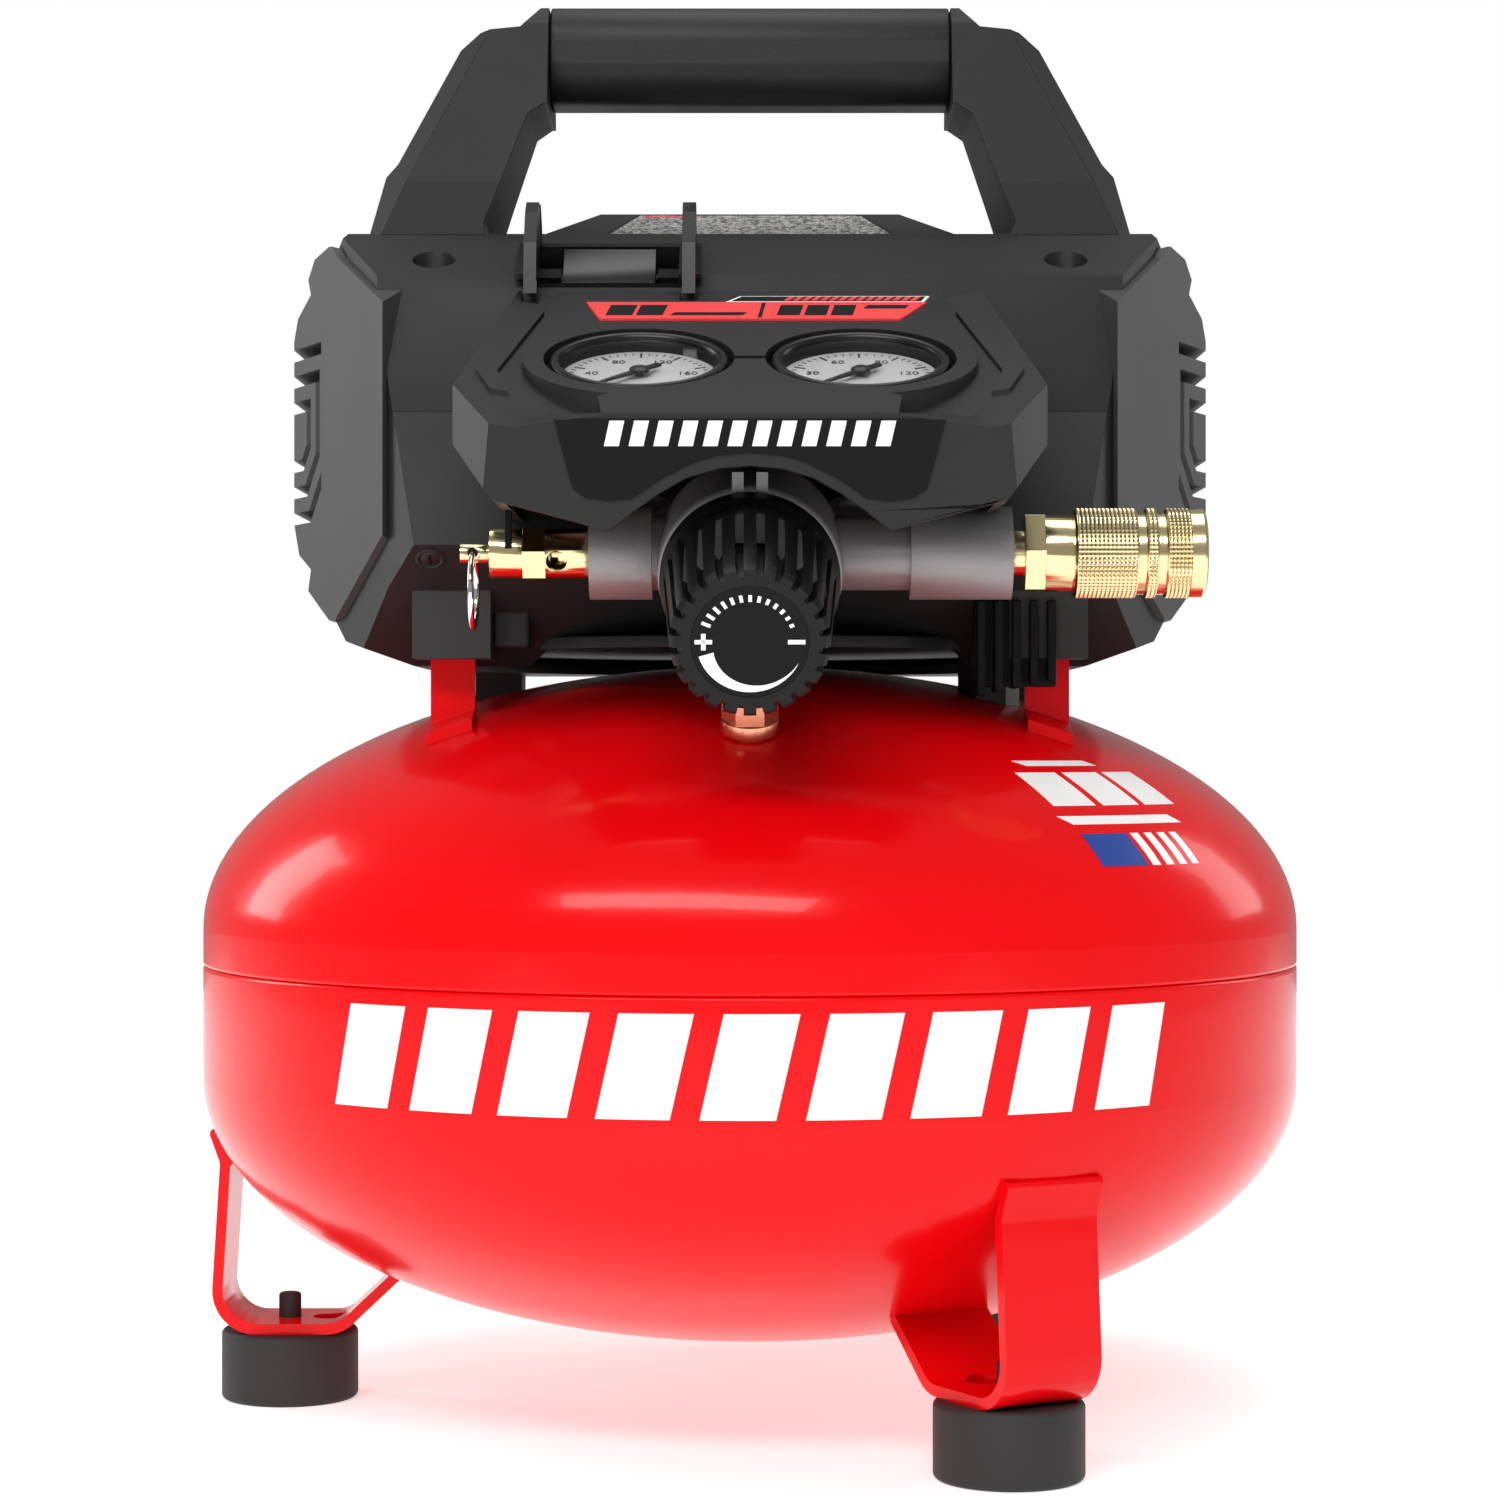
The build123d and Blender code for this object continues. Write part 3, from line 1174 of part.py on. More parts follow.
VALVE_BASE = BAND_TOP + dome_rise(sqrt(VALVE_X ** 2 + VALVE_Y ** 2))
TUBE_OUT = 3.2
with BuildPart() as check_valve:
    with BuildSketch(Plane.XY.offset(VALVE_BASE - 6)):
        with Locations((VALVE_X, VALVE_Y)):
            RegularPolygon(radius=8.5, side_count=6)
    extrude(amount=20)
    add(dome_space.part, mode=Mode.SUBTRACT)
    with BuildSketch(Plane.XY.offset(VALVE_BASE + 14)):
        with Locations((VALVE_X, VALVE_Y)):
            Circle(6)
    extrude(amount=6)
save(check_valve, "check_valve")

head_side = (PUMP_X + 23, CROWN_Y - 10, CRANK_Z)
tube_route = [head_side, (VALVE_X, CROWN_Y - 10, CRANK_Z), (VALVE_X, VALVE_Y, VALVE_BASE + 20)]
with BuildPart() as discharge_tube:
    with BuildLine() as tube_line:
        FilletPolyline(*tube_route, radius=12)
    with BuildSketch(Plane(origin=tube_line.line @ 0, z_dir=tube_line.line % 0)):
        Circle(TUBE_OUT)
        Circle(TUBE_OUT - 1, mode=Mode.SUBTRACT)
    sweep(path=tube_line.line)
save(discharge_tube, "discharge_tube")

# ---------------------------------------------------------------- control board and battery
with BuildPart() as control_board:
    with BuildSketch(Plane.XY.offset(220)):
        with Locations((82, 20)):
            Rectangle(44, 80)
    extrude(amount=1.6)
    with BuildSketch(Plane.XY.offset(221.6)):
        with Locations((74, 0), (74, 24)):
            Circle(6.5)
    extrude(amount=20)
    with BuildSketch(Plane.XY.offset(221.6)):
        with Locations((94, 20)):
            Rectangle(12, 56)
    extrude(amount=4)
    for fin in range(5):
        with BuildSketch(Plane.XY.offset(225)):
            with Locations((94, -4 + 12 * fin)):
                Rectangle(12, 2)
        extrude(amount=14)
    with BuildSketch(Plane.XY.offset(217)):
        for peg_x in (64, 100):
            for peg_y in (-16, 56):
                with Locations((peg_x, peg_y)):
                    Circle(2.5)
    extrude(amount=3.2)
save(control_board, "control_board")

PACK_X = 38.0
PACK_REAR = 174.5
PACK_LOW = 222.0
PACK_TOP = 322.0
PACK_FRONT = HOUSING_REAR + 0.6
SLOT_GAP = 0.5
BUTTON_W = 26.0
BUTTON_H = 14.0
BUTTON_Z = 303.0
PACK_SIDE = [(PACK_FRONT, PACK_LOW), (PACK_FRONT, 316), (PACK_FRONT + 8, PACK_TOP), (154, PACK_TOP),
             (PACK_REAR, 296), (PACK_REAR, PACK_LOW + 10), (164, PACK_LOW)]
with BuildPart() as battery_pack:
    with BuildSketch(Plane.YZ):
        outline(*PACK_SIDE)
    extrude(amount=PACK_X, both=True)
    fillet(battery_pack.edges().filter_by(Axis.Z), 4)
    with BuildSketch(Plane.XY.offset(PACK_LOW - 1)):
        with Locations((0, HOUSING_REAR + 2)):
            Rectangle(2 * (DOCK_NECK_X + SLOT_GAP), 6)
        with Locations((0, HOUSING_REAR + 5.5)):
            Rectangle(2 * (DOCK_X + SLOT_GAP), 3 + 2 * SLOT_GAP)
    extrude(amount=DOCK_TOP + SLOT_GAP - PACK_LOW + 1, mode=Mode.SUBTRACT)
    button_lean = atan((PACK_TOP - 296) / (PACK_REAR - 154))
    button_plane = Plane(
        origin=(0, (154 + PACK_REAR) / 2, (PACK_TOP + 296) / 2), x_dir=(1, 0, 0),
        z_dir=(0, sin(button_lean), cos(button_lean)))
    with BuildSketch(button_plane.offset(-8)):
        Rectangle(BUTTON_W + 0.6, BUTTON_H + 0.6)
    extrude(amount=20, mode=Mode.SUBTRACT)
save(battery_pack, "battery_pack")

with BuildPart() as battery_button:
    with BuildSketch(button_plane.offset(-4)):
        Rectangle(BUTTON_W, BUTTON_H)
    extrude(amount=5.2)
    fillet(battery_button.faces().sort_by(Axis.Z)[-1].edges(), 1.0)
save(battery_button, "battery_button")
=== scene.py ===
import json
import math

import bmesh
import bpy
from mathutils import Matrix, Vector


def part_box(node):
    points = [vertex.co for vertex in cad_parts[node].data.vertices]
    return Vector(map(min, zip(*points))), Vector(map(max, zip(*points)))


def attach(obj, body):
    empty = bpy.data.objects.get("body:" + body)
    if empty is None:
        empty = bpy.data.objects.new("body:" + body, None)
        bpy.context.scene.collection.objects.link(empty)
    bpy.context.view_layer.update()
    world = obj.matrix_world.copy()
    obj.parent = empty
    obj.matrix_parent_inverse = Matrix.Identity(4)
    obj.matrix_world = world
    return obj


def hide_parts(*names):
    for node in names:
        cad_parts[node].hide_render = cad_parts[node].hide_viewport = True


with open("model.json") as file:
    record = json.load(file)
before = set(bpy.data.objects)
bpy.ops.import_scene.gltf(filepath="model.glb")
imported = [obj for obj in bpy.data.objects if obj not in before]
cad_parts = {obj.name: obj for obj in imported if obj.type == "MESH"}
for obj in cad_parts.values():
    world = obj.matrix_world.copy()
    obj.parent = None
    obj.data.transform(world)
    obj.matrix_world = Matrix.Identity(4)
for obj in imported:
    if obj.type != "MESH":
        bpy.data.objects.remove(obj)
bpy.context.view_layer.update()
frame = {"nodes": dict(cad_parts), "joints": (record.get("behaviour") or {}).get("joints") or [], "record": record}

MM = 0.001

# ------------------------------------------------------------------ places from the frame, in metres
JOINTS = {joint["name"]: joint for joint in frame["joints"]}


def axes_at(origin, x_axis, z_axis):
    """Placement for shapes drawn in millimetres, with local x and z along the given directions."""
    x, z = Vector(x_axis).normalized(), Vector(z_axis).normalized()
    turn = Matrix((x, z.cross(x), z)).transposed().to_4x4()
    return Matrix.Translation(Vector(origin)) @ turn @ Matrix.Scale(MM, 4)


WORLD = Matrix.Scale(MM, 4)
MANIFOLD = Vector(JOINTS["knob_turn"]["pos_m"])
KNOB_AXIS = Vector(JOINTS["knob_turn"]["axis"])
KNOB = axes_at(MANIFOLD, (1, 0, 0), KNOB_AXIS)
TUBE = axes_at(MANIFOLD, (0, 1, 0), (1, 0, 0))
PANEL_AXIS = Vector(JOINTS["outlet_needle_turn"]["axis"])
PANEL_LEAN = -PANEL_AXIS.y / PANEL_AXIS.z
GAUGE_SPOTS = {"left": Vector(JOINTS["tank_needle_turn"]["pos_m"]),
               "right": Vector(JOINTS["outlet_needle_turn"]["pos_m"])}
GAUGES = {side: axes_at(spot, (1, 0, 0), PANEL_AXIS) for side, spot in GAUGE_SPOTS.items()}
PANEL = axes_at(sum(GAUGE_SPOTS.values(), Vector()) / 2, (1, 0, 0), PANEL_AXIS)
PANEL_MID = PANEL.translation / MM
TANK_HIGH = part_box("tank_upper_shell")[1]
TANK_R = TANK_HIGH.x / MM
TANK_TOP = TANK_HIGH.z / MM
BAND_TOP = 136.0


# ------------------------------------------------------------------ materials
def shader(name):
    """A new material, its shader and a function that adds nodes."""
    made = bpy.data.materials.new(name)
    made.use_nodes = True
    nodes, links = made.node_tree.nodes, made.node_tree.links

    def node(kind, **settings):
        new = nodes.new(kind)
        for key, value in settings.items():
            setattr(new, key, value)
        return new

    return made, nodes["Principled BSDF"], node, links


PATCH_SCALE = 35.0
GRAIN_DEPTH = 0.0002


def surface(name, colour, roughness, metallic=0.0, grain=900.0, bump=0.1, mottle=0.06, spread=0.05,
            coat=0.0, specular=0.5):
    """Moulded, painted or machined surface: mottled colour, uneven gloss and a fine raised grain."""
    made, bsdf, node, links = shader(name)
    place = node("ShaderNodeTexCoord")
    patches = node("ShaderNodeTexNoise")
    patches.inputs["Scale"].default_value = PATCH_SCALE
    patches.inputs["Detail"].default_value = 6
    links.new(place.outputs["Object"], patches.inputs["Vector"])
    tone = node("ShaderNodeMapRange")
    tone.inputs["To Min"].default_value = 1 - mottle
    tone.inputs["To Max"].default_value = 1 + mottle
    links.new(patches.outputs["Fac"], tone.inputs["Value"])
    tint = node("ShaderNodeMix", data_type="RGBA", blend_type="MULTIPLY")
    tint.inputs["Factor"].default_value = 1
    tint.inputs["A"].default_value = (*colour, 1)
    links.new(tone.outputs["Result"], tint.inputs["B"])
    links.new(tint.outputs["Result"], bsdf.inputs["Base Color"])
    gloss = node("ShaderNodeMapRange")
    gloss.inputs["To Min"].default_value = max(roughness - spread, 0.02)
    gloss.inputs["To Max"].default_value = roughness + spread
    links.new(patches.outputs["Fac"], gloss.inputs["Value"])
    links.new(gloss.outputs["Result"], bsdf.inputs["Roughness"])
    grains = node("ShaderNodeTexNoise")
    grains.inputs["Scale"].default_value = grain
    grains.inputs["Detail"].default_value = 3
    links.new(place.outputs["Object"], grains.inputs["Vector"])
    raised = node("ShaderNodeBump")
    raised.inputs["Strength"].default_value = bump
    raised.inputs["Distance"].default_value = GRAIN_DEPTH
    links.new(grains.outputs["Fac"], raised.inputs["Height"])
    links.new(raised.outputs["Normal"], bsdf.inputs["Normal"])
    bsdf.inputs["Metallic"].default_value = metallic
    bsdf.inputs["Specular IOR Level"].default_value = specular
    bsdf.inputs["Coat Weight"].default_value = coat
    bsdf.inputs["Coat Roughness"].default_value = 0.03
    return made


def pebbled(name, dark, pale):
    """Non-slip grit: pale and dark flakes over a dark film."""
    made, bsdf, node, links = shader(name)
    place = node("ShaderNodeTexCoord")
    cells = node("ShaderNodeTexVoronoi")
    cells.inputs["Scale"].default_value = 1100
    links.new(place.outputs["Object"], cells.inputs["Vector"])
    tone = node("ShaderNodeMix", data_type="RGBA")
    tone.inputs["A"].default_value = (*dark, 1)
    tone.inputs["B"].default_value = (*pale, 1)
    pick = node("ShaderNodeSeparateColor")
    links.new(cells.outputs["Color"], pick.inputs["Color"])
    links.new(pick.outputs["Red"], tone.inputs["Factor"])
    links.new(tone.outputs["Result"], bsdf.inputs["Base Color"])
    raised = node("ShaderNodeBump")
    raised.inputs["Strength"].default_value = 0.9
    raised.inputs["Distance"].default_value = 0.0004
    links.new(cells.outputs["Distance"], raised.inputs["Height"])
    links.new(raised.outputs["Normal"], bsdf.inputs["Normal"])
    bsdf.inputs["Roughness"].default_value = 0.75
    return made


def clear(name):
    """Clear pane of the gauges, with faint smears in its gloss."""
    made, bsdf, node, links = shader(name)
    place = node("ShaderNodeTexCoord")
    smears = node("ShaderNodeTexNoise")
    smears.inputs["Scale"].default_value = 120
    links.new(place.outputs["Object"], smears.inputs["Vector"])
    gloss = node("ShaderNodeMapRange")
    gloss.inputs["To Min"].default_value = 0.0
    gloss.inputs["To Max"].default_value = 0.06
    links.new(smears.outputs["Fac"], gloss.inputs["Value"])
    links.new(gloss.outputs["Result"], bsdf.inputs["Roughness"])
    bsdf.inputs["Base Color"].default_value = (1, 1, 1, 1)
    bsdf.inputs["Transmission Weight"].default_value = 1
    bsdf.inputs["IOR"].default_value = 1.25
    return made


RED = surface("red_paint", (0.74, 0.0008, 0.003), 0.2, grain=260, bump=0.02, mottle=0.02, spread=0.03,
              coat=0.12, specular=0.15)
HOUSING = surface("housing_plastic", (0.0135, 0.0135, 0.014), 0.5, grain=1500, bump=0.3, specular=0.25)
DASH = surface("dash_plastic", (0.0155, 0.0155, 0.016), 0.48, grain=1500, bump=0.25, specular=0.28)
COVER = surface("cover_plastic", (0.046, 0.046, 0.0475), 0.55, grain=1500, bump=0.3, specular=0.3)
RUBBER = surface("rubber", (0.028, 0.028, 0.0285), 0.6, specular=0.3, grain=1200, bump=0.35)
GRIP = surface("grip_rubber", (0.012, 0.012, 0.0125), 0.5, specular=0.35, grain=1200, bump=0.3)
BLACK = surface("gloss_black", (0.006, 0.006, 0.0065), 0.3, grain=800, bump=0.04, specular=0.4)
FILM = surface("film_black", (0.0035, 0.0035, 0.0037), 0.5, grain=900, bump=0.05, specular=0.16)
KNOB_BLACK = surface("knob_plastic", (0.005, 0.005, 0.0053), 0.45, grain=1500, bump=0.2, specular=0.22)
ALLOY = surface("cast_alloy", (0.29, 0.28, 0.285), 0.45, metallic=0.6, grain=1800, bump=0.35)
BRASS = surface("brass", (0.86, 0.72, 0.40), 0.17, metallic=1.0, grain=1500, bump=0.05, mottle=0.04)
COPPER = surface("copper", (0.85, 0.36, 0.22), 0.25, metallic=1.0, grain=1200, bump=0.08, mottle=0.08)
STEEL = surface("steel", (0.55, 0.55, 0.57), 0.25, metallic=1.0, grain=1400, bump=0.05)
CHROME = surface("chrome", (0.8, 0.8, 0.82), 0.08, metallic=1.0, grain=800, bump=0.02)
FELT = surface("felt", (0.35, 0.33, 0.28), 0.95, grain=2500, bump=0.6)
BOARD = surface("board", (0.02, 0.12, 0.05), 0.4, grain=900, bump=0.1)
GRIT = pebbled("grit", (0.02, 0.02, 0.02), (0.55, 0.54, 0.53))
LABEL_RED = surface("label_red", (0.86, 0.05, 0.05), 0.4, grain=900, bump=0.03)
WHITE = surface("print_white", (0.9, 0.9, 0.9), 0.35, grain=900, bump=0.02, mottle=0.02)
BLUE = surface("print_blue", (0.01, 0.05, 0.3), 0.35, grain=900, bump=0.02)
BUTTON = surface("button_red", (0.55, 0.01, 0.012), 0.4, grain=1500, bump=0.2)
LENS = clear("lens")
# Dark steel for the corner screws; on the check valve the same dark colour is painted shade
BLACK_STEEL_AND_SHADE = surface("black_steel_and_painted_shade", (0.02, 0.019, 0.018), 0.45, metallic=0.4, grain=1500, bump=0.15)

MATERIALS = {
    "red_paint": RED, "foot_rubber": RUBBER, "housing_plastic": HOUSING, "dash_plastic": DASH,
    "cover_plastic": COVER, "grip_rubber": GRIP, "panel_film": FILM, "label_film": LABEL_RED,
    "inlay_grit": GRIT, "screw_steel": STEEL, "gauge_black": BLACK, "dial_white": WHITE,
    "needle_black": BLACK, "lens_clear": LENS, "cast_alloy": ALLOY, "knob_plastic": KNOB_BLACK,
    "knob_film": FILM, "brass": BRASS, "copper": COPPER, "spring_steel": STEEL, "chrome_wire": CHROME,
    "switch_plastic": BLACK, "isolator_rubber": RUBBER, "motor_steel": STEEL, "pump_alloy": ALLOY,
    "fan_plastic": HOUSING, "felt": FELT, "board_green": BOARD, "battery_plastic": HOUSING,
    "button_red": BUTTON,
}

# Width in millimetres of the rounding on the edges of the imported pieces
EDGES = {
    "housing_lower": 1.4, "housing_upper": 1.4, "handle_frame": 2.2, "side_cover_left": 0.9,
    "side_cover_right": 0.9, "manifold": 0.8, "leg_left": 0.7, "leg_front": 0.7, "leg_rear": 0.7,
    "foot_left": 1.2, "foot_front": 1.2, "foot_rear": 1.2, "mount_brackets": 0.5, "isolators": 1.2,
    "switch_bezel": 0.7, "power_rocker": 0.5, "regulator_knob": 0.3, "regulator_body": 0.5,
    "coupler_body": 0.3, "safety_valve_body": 0.3, "safety_valve_stem": 0.25, "tank_bung": 0.4,
    "battery_pack": 1.6, "battery_button": 0.8, "drain_valve_body": 0.3, "drain_valve_handle": 0.4,
    "check_valve": 0.4, "housing_screws": 0.3, "handle_grip": 0.6,
}
# Imported pieces whose look differs from the rest of their slot: the check valve's brass is swapped for dark steel
# as painted shade, for the shade it sits in
PAINTED_SHADE_MATERIALS = {"check_valve": BLACK_STEEL_AND_SHADE}
WELD_REACH = 0.01
FLAT_ANGLE = 0.6
EDGE_ANGLE = 28


def round_edges(made, width):
    """Rounds the sharp edges of an object by a width in millimetres."""
    rounded = made.modifiers.new("rounded", "BEVEL")
    rounded.width = width * MM
    rounded.segments = 3
    rounded.angle_limit = math.radians(EDGE_ANGLE)
    rounded.harden_normals = True


for part in frame["record"]["subparts"]:
    node_object = frame["nodes"][part["node"]]
    node_object.data.materials.clear()
    # The check valve takes dark steel instead of its slot's brass, as painted shade
    node_object.data.materials.append(PAINTED_SHADE_MATERIALS.get(part["node"], MATERIALS[part["material_slot"]]))
    width = EDGES.get(part["node"])
    if width:
        weld = node_object.modifiers.new("weld", "WELD")
        weld.merge_threshold = WELD_REACH * MM
        flat = node_object.modifiers.new("flat", "DECIMATE")
        flat.decimate_type = "DISSOLVE"
        flat.angle_limit = math.radians(FLAT_ANGLE)
        round_edges(node_object, width)


# ------------------------------------------------------------------ mesh helpers, drawn in millimetres
def piece(name, bm, material, body="chassis", place=WORLD, bevel=0.0, sharp=35, replaces=()):
    """Turns a bmesh drawn in millimetres into a finished object on its body."""
    bmesh.ops.remove_doubles(bm, verts=bm.verts, dist=0.0005)
    bmesh.ops.recalc_face_normals(bm, faces=bm.faces)
    bm.transform(place)
    mesh = bpy.data.meshes.new(name)
    bm.to_mesh(mesh)
    bm.free()
    made = bpy.data.objects.new(name, mesh)
    bpy.context.scene.collection.objects.link(made)
    for one in material if isinstance(material, (list, tuple)) else [material]:
        mesh.materials.append(one)
    mesh.polygons.foreach_set("use_smooth", [True] * len(mesh.polygons))
    mesh.set_sharp_from_angle(angle=math.radians(sharp))
    if bevel:
        round_edges(made, bevel)
    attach(made, body)
    if replaces:
        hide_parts(*replaces)
    return made


def prism(outline, low, high, into=None):
    """Adds a straight-sided prism. low and high are heights, or functions of x and y."""
    bm = into or bmesh.new()
    low_at = low if callable(low) else lambda x, y: low
    high_at = high if callable(high) else lambda x, y: high
    under = [bm.verts.new((x, y, low_at(x, y))) for x, y in outline]
    over = [bm.verts.new((x, y, high_at(x, y))) for x, y in outline]
    bm.faces.new(under[::-1])
    bm.faces.new(over)
    for i in range(len(outline)):
        j = (i + 1) % len(outline)
        bm.faces.new((under[i], under[j], over[j], over[i]))
    return bm


def lathe(profile, segments):
    """A body turned about local z. The profile is (radius, height) and may touch the axis."""
    bm = bmesh.new()
    rings = []
    for radius, height in profile:
        if radius == 0:
            rings.append([bm.verts.new((0, 0, height))])
            continue
        rings.append([bm.verts.new((radius * math.cos(math.tau * i / segments),
                                    radius * math.sin(math.tau * i / segments), height))
                      for i in range(segments)])
    pairs = list(zip(rings, rings[1:]))
    if profile[0][0] and profile[-1][0]:
        pairs.append((rings[-1], rings[0]))
    for one, two in pairs:
        for i in range(segments):
            j = (i + 1) % segments
            corners = [one[i % len(one)], one[j % len(one)], two[j % len(two)], two[i % len(two)]]
            corners = list(dict.fromkeys(corners))
            bm.faces.new(corners)
    return bm


def arc(radius, steps, start, sweep, centre_x):
    """Points along an arc centred on the x axis, with its angles in degrees."""
    return [(centre_x + radius * math.cos(math.radians(start + sweep * i / steps)),
             radius * math.sin(math.radians(start + sweep * i / steps)))
            for i in range(steps + 1)]


def box(size, centre):
    """Outline of a rectangle."""
    x, y = size[0] / 2, size[1] / 2
    return [(centre[0] - x, centre[1] - y), (centre[0] + x, centre[1] - y),
            (centre[0] + x, centre[1] + y), (centre[0] - x, centre[1] + y)]


def carve(bm, planes):
    """Keeps what is behind every plane, each given as a point and an outward direction."""
    for point, outward in planes:
        cut = bmesh.ops.bisect_plane(
            bm, geom=bm.verts[:] + bm.edges[:] + bm.faces[:], plane_co=point, plane_no=outward,
            clear_outer=True)
        edges = [item for item in cut["geom_cut"] if isinstance(item, bmesh.types.BMEdge)]
        if edges:
            bmesh.ops.contextual_create(bm, geom=edges)
    return bm


def combined(base, other, operation):
    """The exact boolean of two closed bmeshes."""
    objects = []
    for bm in (base, other):
        bmesh.ops.recalc_face_normals(bm, faces=bm.faces)
        mesh = bpy.data.meshes.new("working")
        bm.to_mesh(mesh)
        bm.free()
        made = bpy.data.objects.new("working", mesh)
        bpy.context.scene.collection.objects.link(made)
        objects.append(made)
    cut = objects[0].modifiers.new("cut", "BOOLEAN")
    cut.operation = operation
    cut.solver = "EXACT"
    cut.object = objects[1]
    result = bmesh.new()
    result.from_object(objects[0], bpy.context.evaluated_depsgraph_get())
    for made in objects:
        mesh = made.data
        bpy.data.objects.remove(made)
        bpy.data.meshes.remove(mesh)
    bmesh.ops.remove_doubles(result, verts=result.verts, dist=0.002)
    bmesh.ops.dissolve_degenerate(result, edges=result.edges, dist=0.002)
    return result


SHEET_LIFTS = (0.02, 0.12)


def grid(across, along, point, into=None):
    """Thin closed sheet over a curved surface. point(s, t, lift) gives a place for 0..1 each way."""
    bm = into or bmesh.new()
    sheets = [[[bm.verts.new(point(i / across, j / along, lift)) for i in range(across + 1)]
               for j in range(along + 1)] for lift in SHEET_LIFTS]
    for level, sheet in enumerate(sheets):
        for j in range(along):
            for i in range(across):
                corners = (sheet[j][i], sheet[j][i + 1], sheet[j + 1][i + 1], sheet[j + 1][i])
                bm.faces.new(corners if level else corners[::-1])
    for j in range(along):
        for i in (0, across):
            bm.faces.new((sheets[0][j][i], sheets[0][j + 1][i], sheets[1][j + 1][i], sheets[1][j][i]))
    for i in range(across):
        for j in (0, along):
            bm.faces.new((sheets[0][j][i], sheets[0][j][i + 1], sheets[1][j][i + 1], sheets[1][j][i]))
    return bm


# ------------------------------------------------------------------ printed marks on the tank
def on_band(angle, height, lift):
    """Point on the upright band of the tank: angle in degrees, height in millimetres."""
    a = math.radians(angle)
    return ((TANK_R + lift) * math.cos(a), (TANK_R + lift) * math.sin(a), height)


def on_dome(angle, radius, lift):
    """Point on the upper dome at a distance from the axis."""
    a, rise = math.radians(angle), TANK_TOP - BAND_TOP
    drop = math.sqrt(1 - (radius / TANK_R) ** 2)
    normal = Vector((rise * radius / (TANK_R ** 2), 0, drop)).normalized()
    r, z = radius + lift * normal.x, BAND_TOP + rise * drop + lift * normal.z
    return (r * math.cos(a), r * math.sin(a), z)


def between(a, b, t):
    return a + (b - a) * t


marks = bmesh.new()
BAR_COUNT, BAR_STEP, BAR_WIDTH, BAR_SLANT = 9, 9.6, 6.9, 2.2
BAR_LOW, BAR_HIGH = 95.5, 121.5
for bar in range(BAR_COUNT):
    centre = -90 + (bar - (BAR_COUNT - 1) / 2) * BAR_STEP
    grid(8, 2, lambda s, t, lift: on_band(
        centre + (s - 0.5) * BAR_WIDTH + (t - 0.5) * BAR_SLANT, between(BAR_LOW, BAR_HIGH, t), lift),
        into=marks)
piece("tank_bars", marks, WHITE, sharp=60)

BADGE_SLANT, FLAG_SLANT = 1.6, 0.9
BADGE_BARS = ((-55.5, -43, 120, 122.2), (-56.8, -50.6, 125, 136.4), (-49.4, -43.2, 125, 136.4),
              (-42, -35.8, 125, 136.4), (-55.8, -38, 139.3, 141.4))
FLAG_LOW, FLAG_HIGH = 143.6, 149.6
STRIPE_START, STRIPE_STEP, STRIPE_WIDTH = -46.9, 2.2, 1.2
badge = bmesh.new()
for first, last, inner, outer in BADGE_BARS:
    grid(6, 4, lambda s, t, lift: on_dome(
        between(first, last, s) + t * BADGE_SLANT, between(inner, outer, t), lift), into=badge)
for stripe in range(4):
    first = STRIPE_START + stripe * STRIPE_STEP
    grid(2, 3, lambda s, t, lift: on_dome(
        first + s * STRIPE_WIDTH + t * FLAG_SLANT, between(FLAG_LOW, FLAG_HIGH, t), lift), into=badge)
piece("tank_badge", badge, WHITE, sharp=60)
block = grid(5, 3, lambda s, t, lift: on_dome(
    between(-54, -47.6, s) + t * FLAG_SLANT, between(FLAG_LOW, FLAG_HIGH, t), lift))
piece("tank_badge_block", block, BLUE, sharp=60)


# ------------------------------------------------------------------ control panel cover
FRONT_TOP = Vector((0, -160.5, 267.8))
FRONT_LOW = Vector((0, -154.0, 236.0))
FRONT_OUT = Vector((0, FRONT_LOW.z - FRONT_TOP.z, FRONT_TOP.y - FRONT_LOW.y)).normalized()
UPRIGHT = Matrix(((1, 0, 0, 0), (0, 0, 1, 0), (0, 1, 0, 0), (0, 0, 0, 1)))
GAUGE_X = 28.2
COLLAR_R = 29.6
WELL_R = 24.3
WALL = 2.6


def panel_height(x, y, lift=0.0):
    """Height of the sloping panel plane."""
    return PANEL_MID.z + (y - PANEL_MID.y) * PANEL_LEAN + lift


def skirt_height(x, y, lift=0.0):
    """Height of the lower surface around the gauges, which falls towards the middle."""
    return 277.0 - 0.155 * (74 - abs(x)) + 0.4804 * (y + 139) + lift


def cover_planes(inset, lower=True):
    """The faces around the cover, drawn in by an inset."""
    sides = [((62.5, -162, 0), (0.894, -0.447, 0)), ((74, -139, 0), (79, 13, 0)),
             ((74, 0, 282), (48, 0, 12)), ((74, 0, 270), (1, 0, 0))]
    if lower:
        sides += [((74, 0, 262), (15, 0, -11)), ((63, 0, 247), (7.5, 0, -29))]
    rear = Vector((0, 65.5, -19.6)).normalized()
    planes = [(FRONT_TOP - FRONT_OUT * inset, FRONT_OUT), (Vector((0, -67.6, 309.2)) + rear * inset, rear),
              (Vector((0, 0, 236 - inset)), Vector((0, 0, -1)))]
    for sign in (-1, 1):
        for point, out in sides:
            out = Vector((sign * out[0], out[1], out[2])).normalized()
            planes.append((Vector((sign * point[0], point[1], point[2])) - out * inset, out))
    return planes


def plan(points):
    """Points on the panel plane seen from above."""
    return [(u, PANEL_MID.y + v * PANEL_AXIS.z) for u, v in points]


def half_skirt(sign):
    """One half of the lower surround."""
    outline = [(sign * -0.5, -170), (sign * 90, -170), (sign * 90, -50), (sign * -0.5, -50)]
    return carve(prism(outline, 220, lambda x, y: skirt_height(max(x * sign, 0), y)), cover_planes(0))


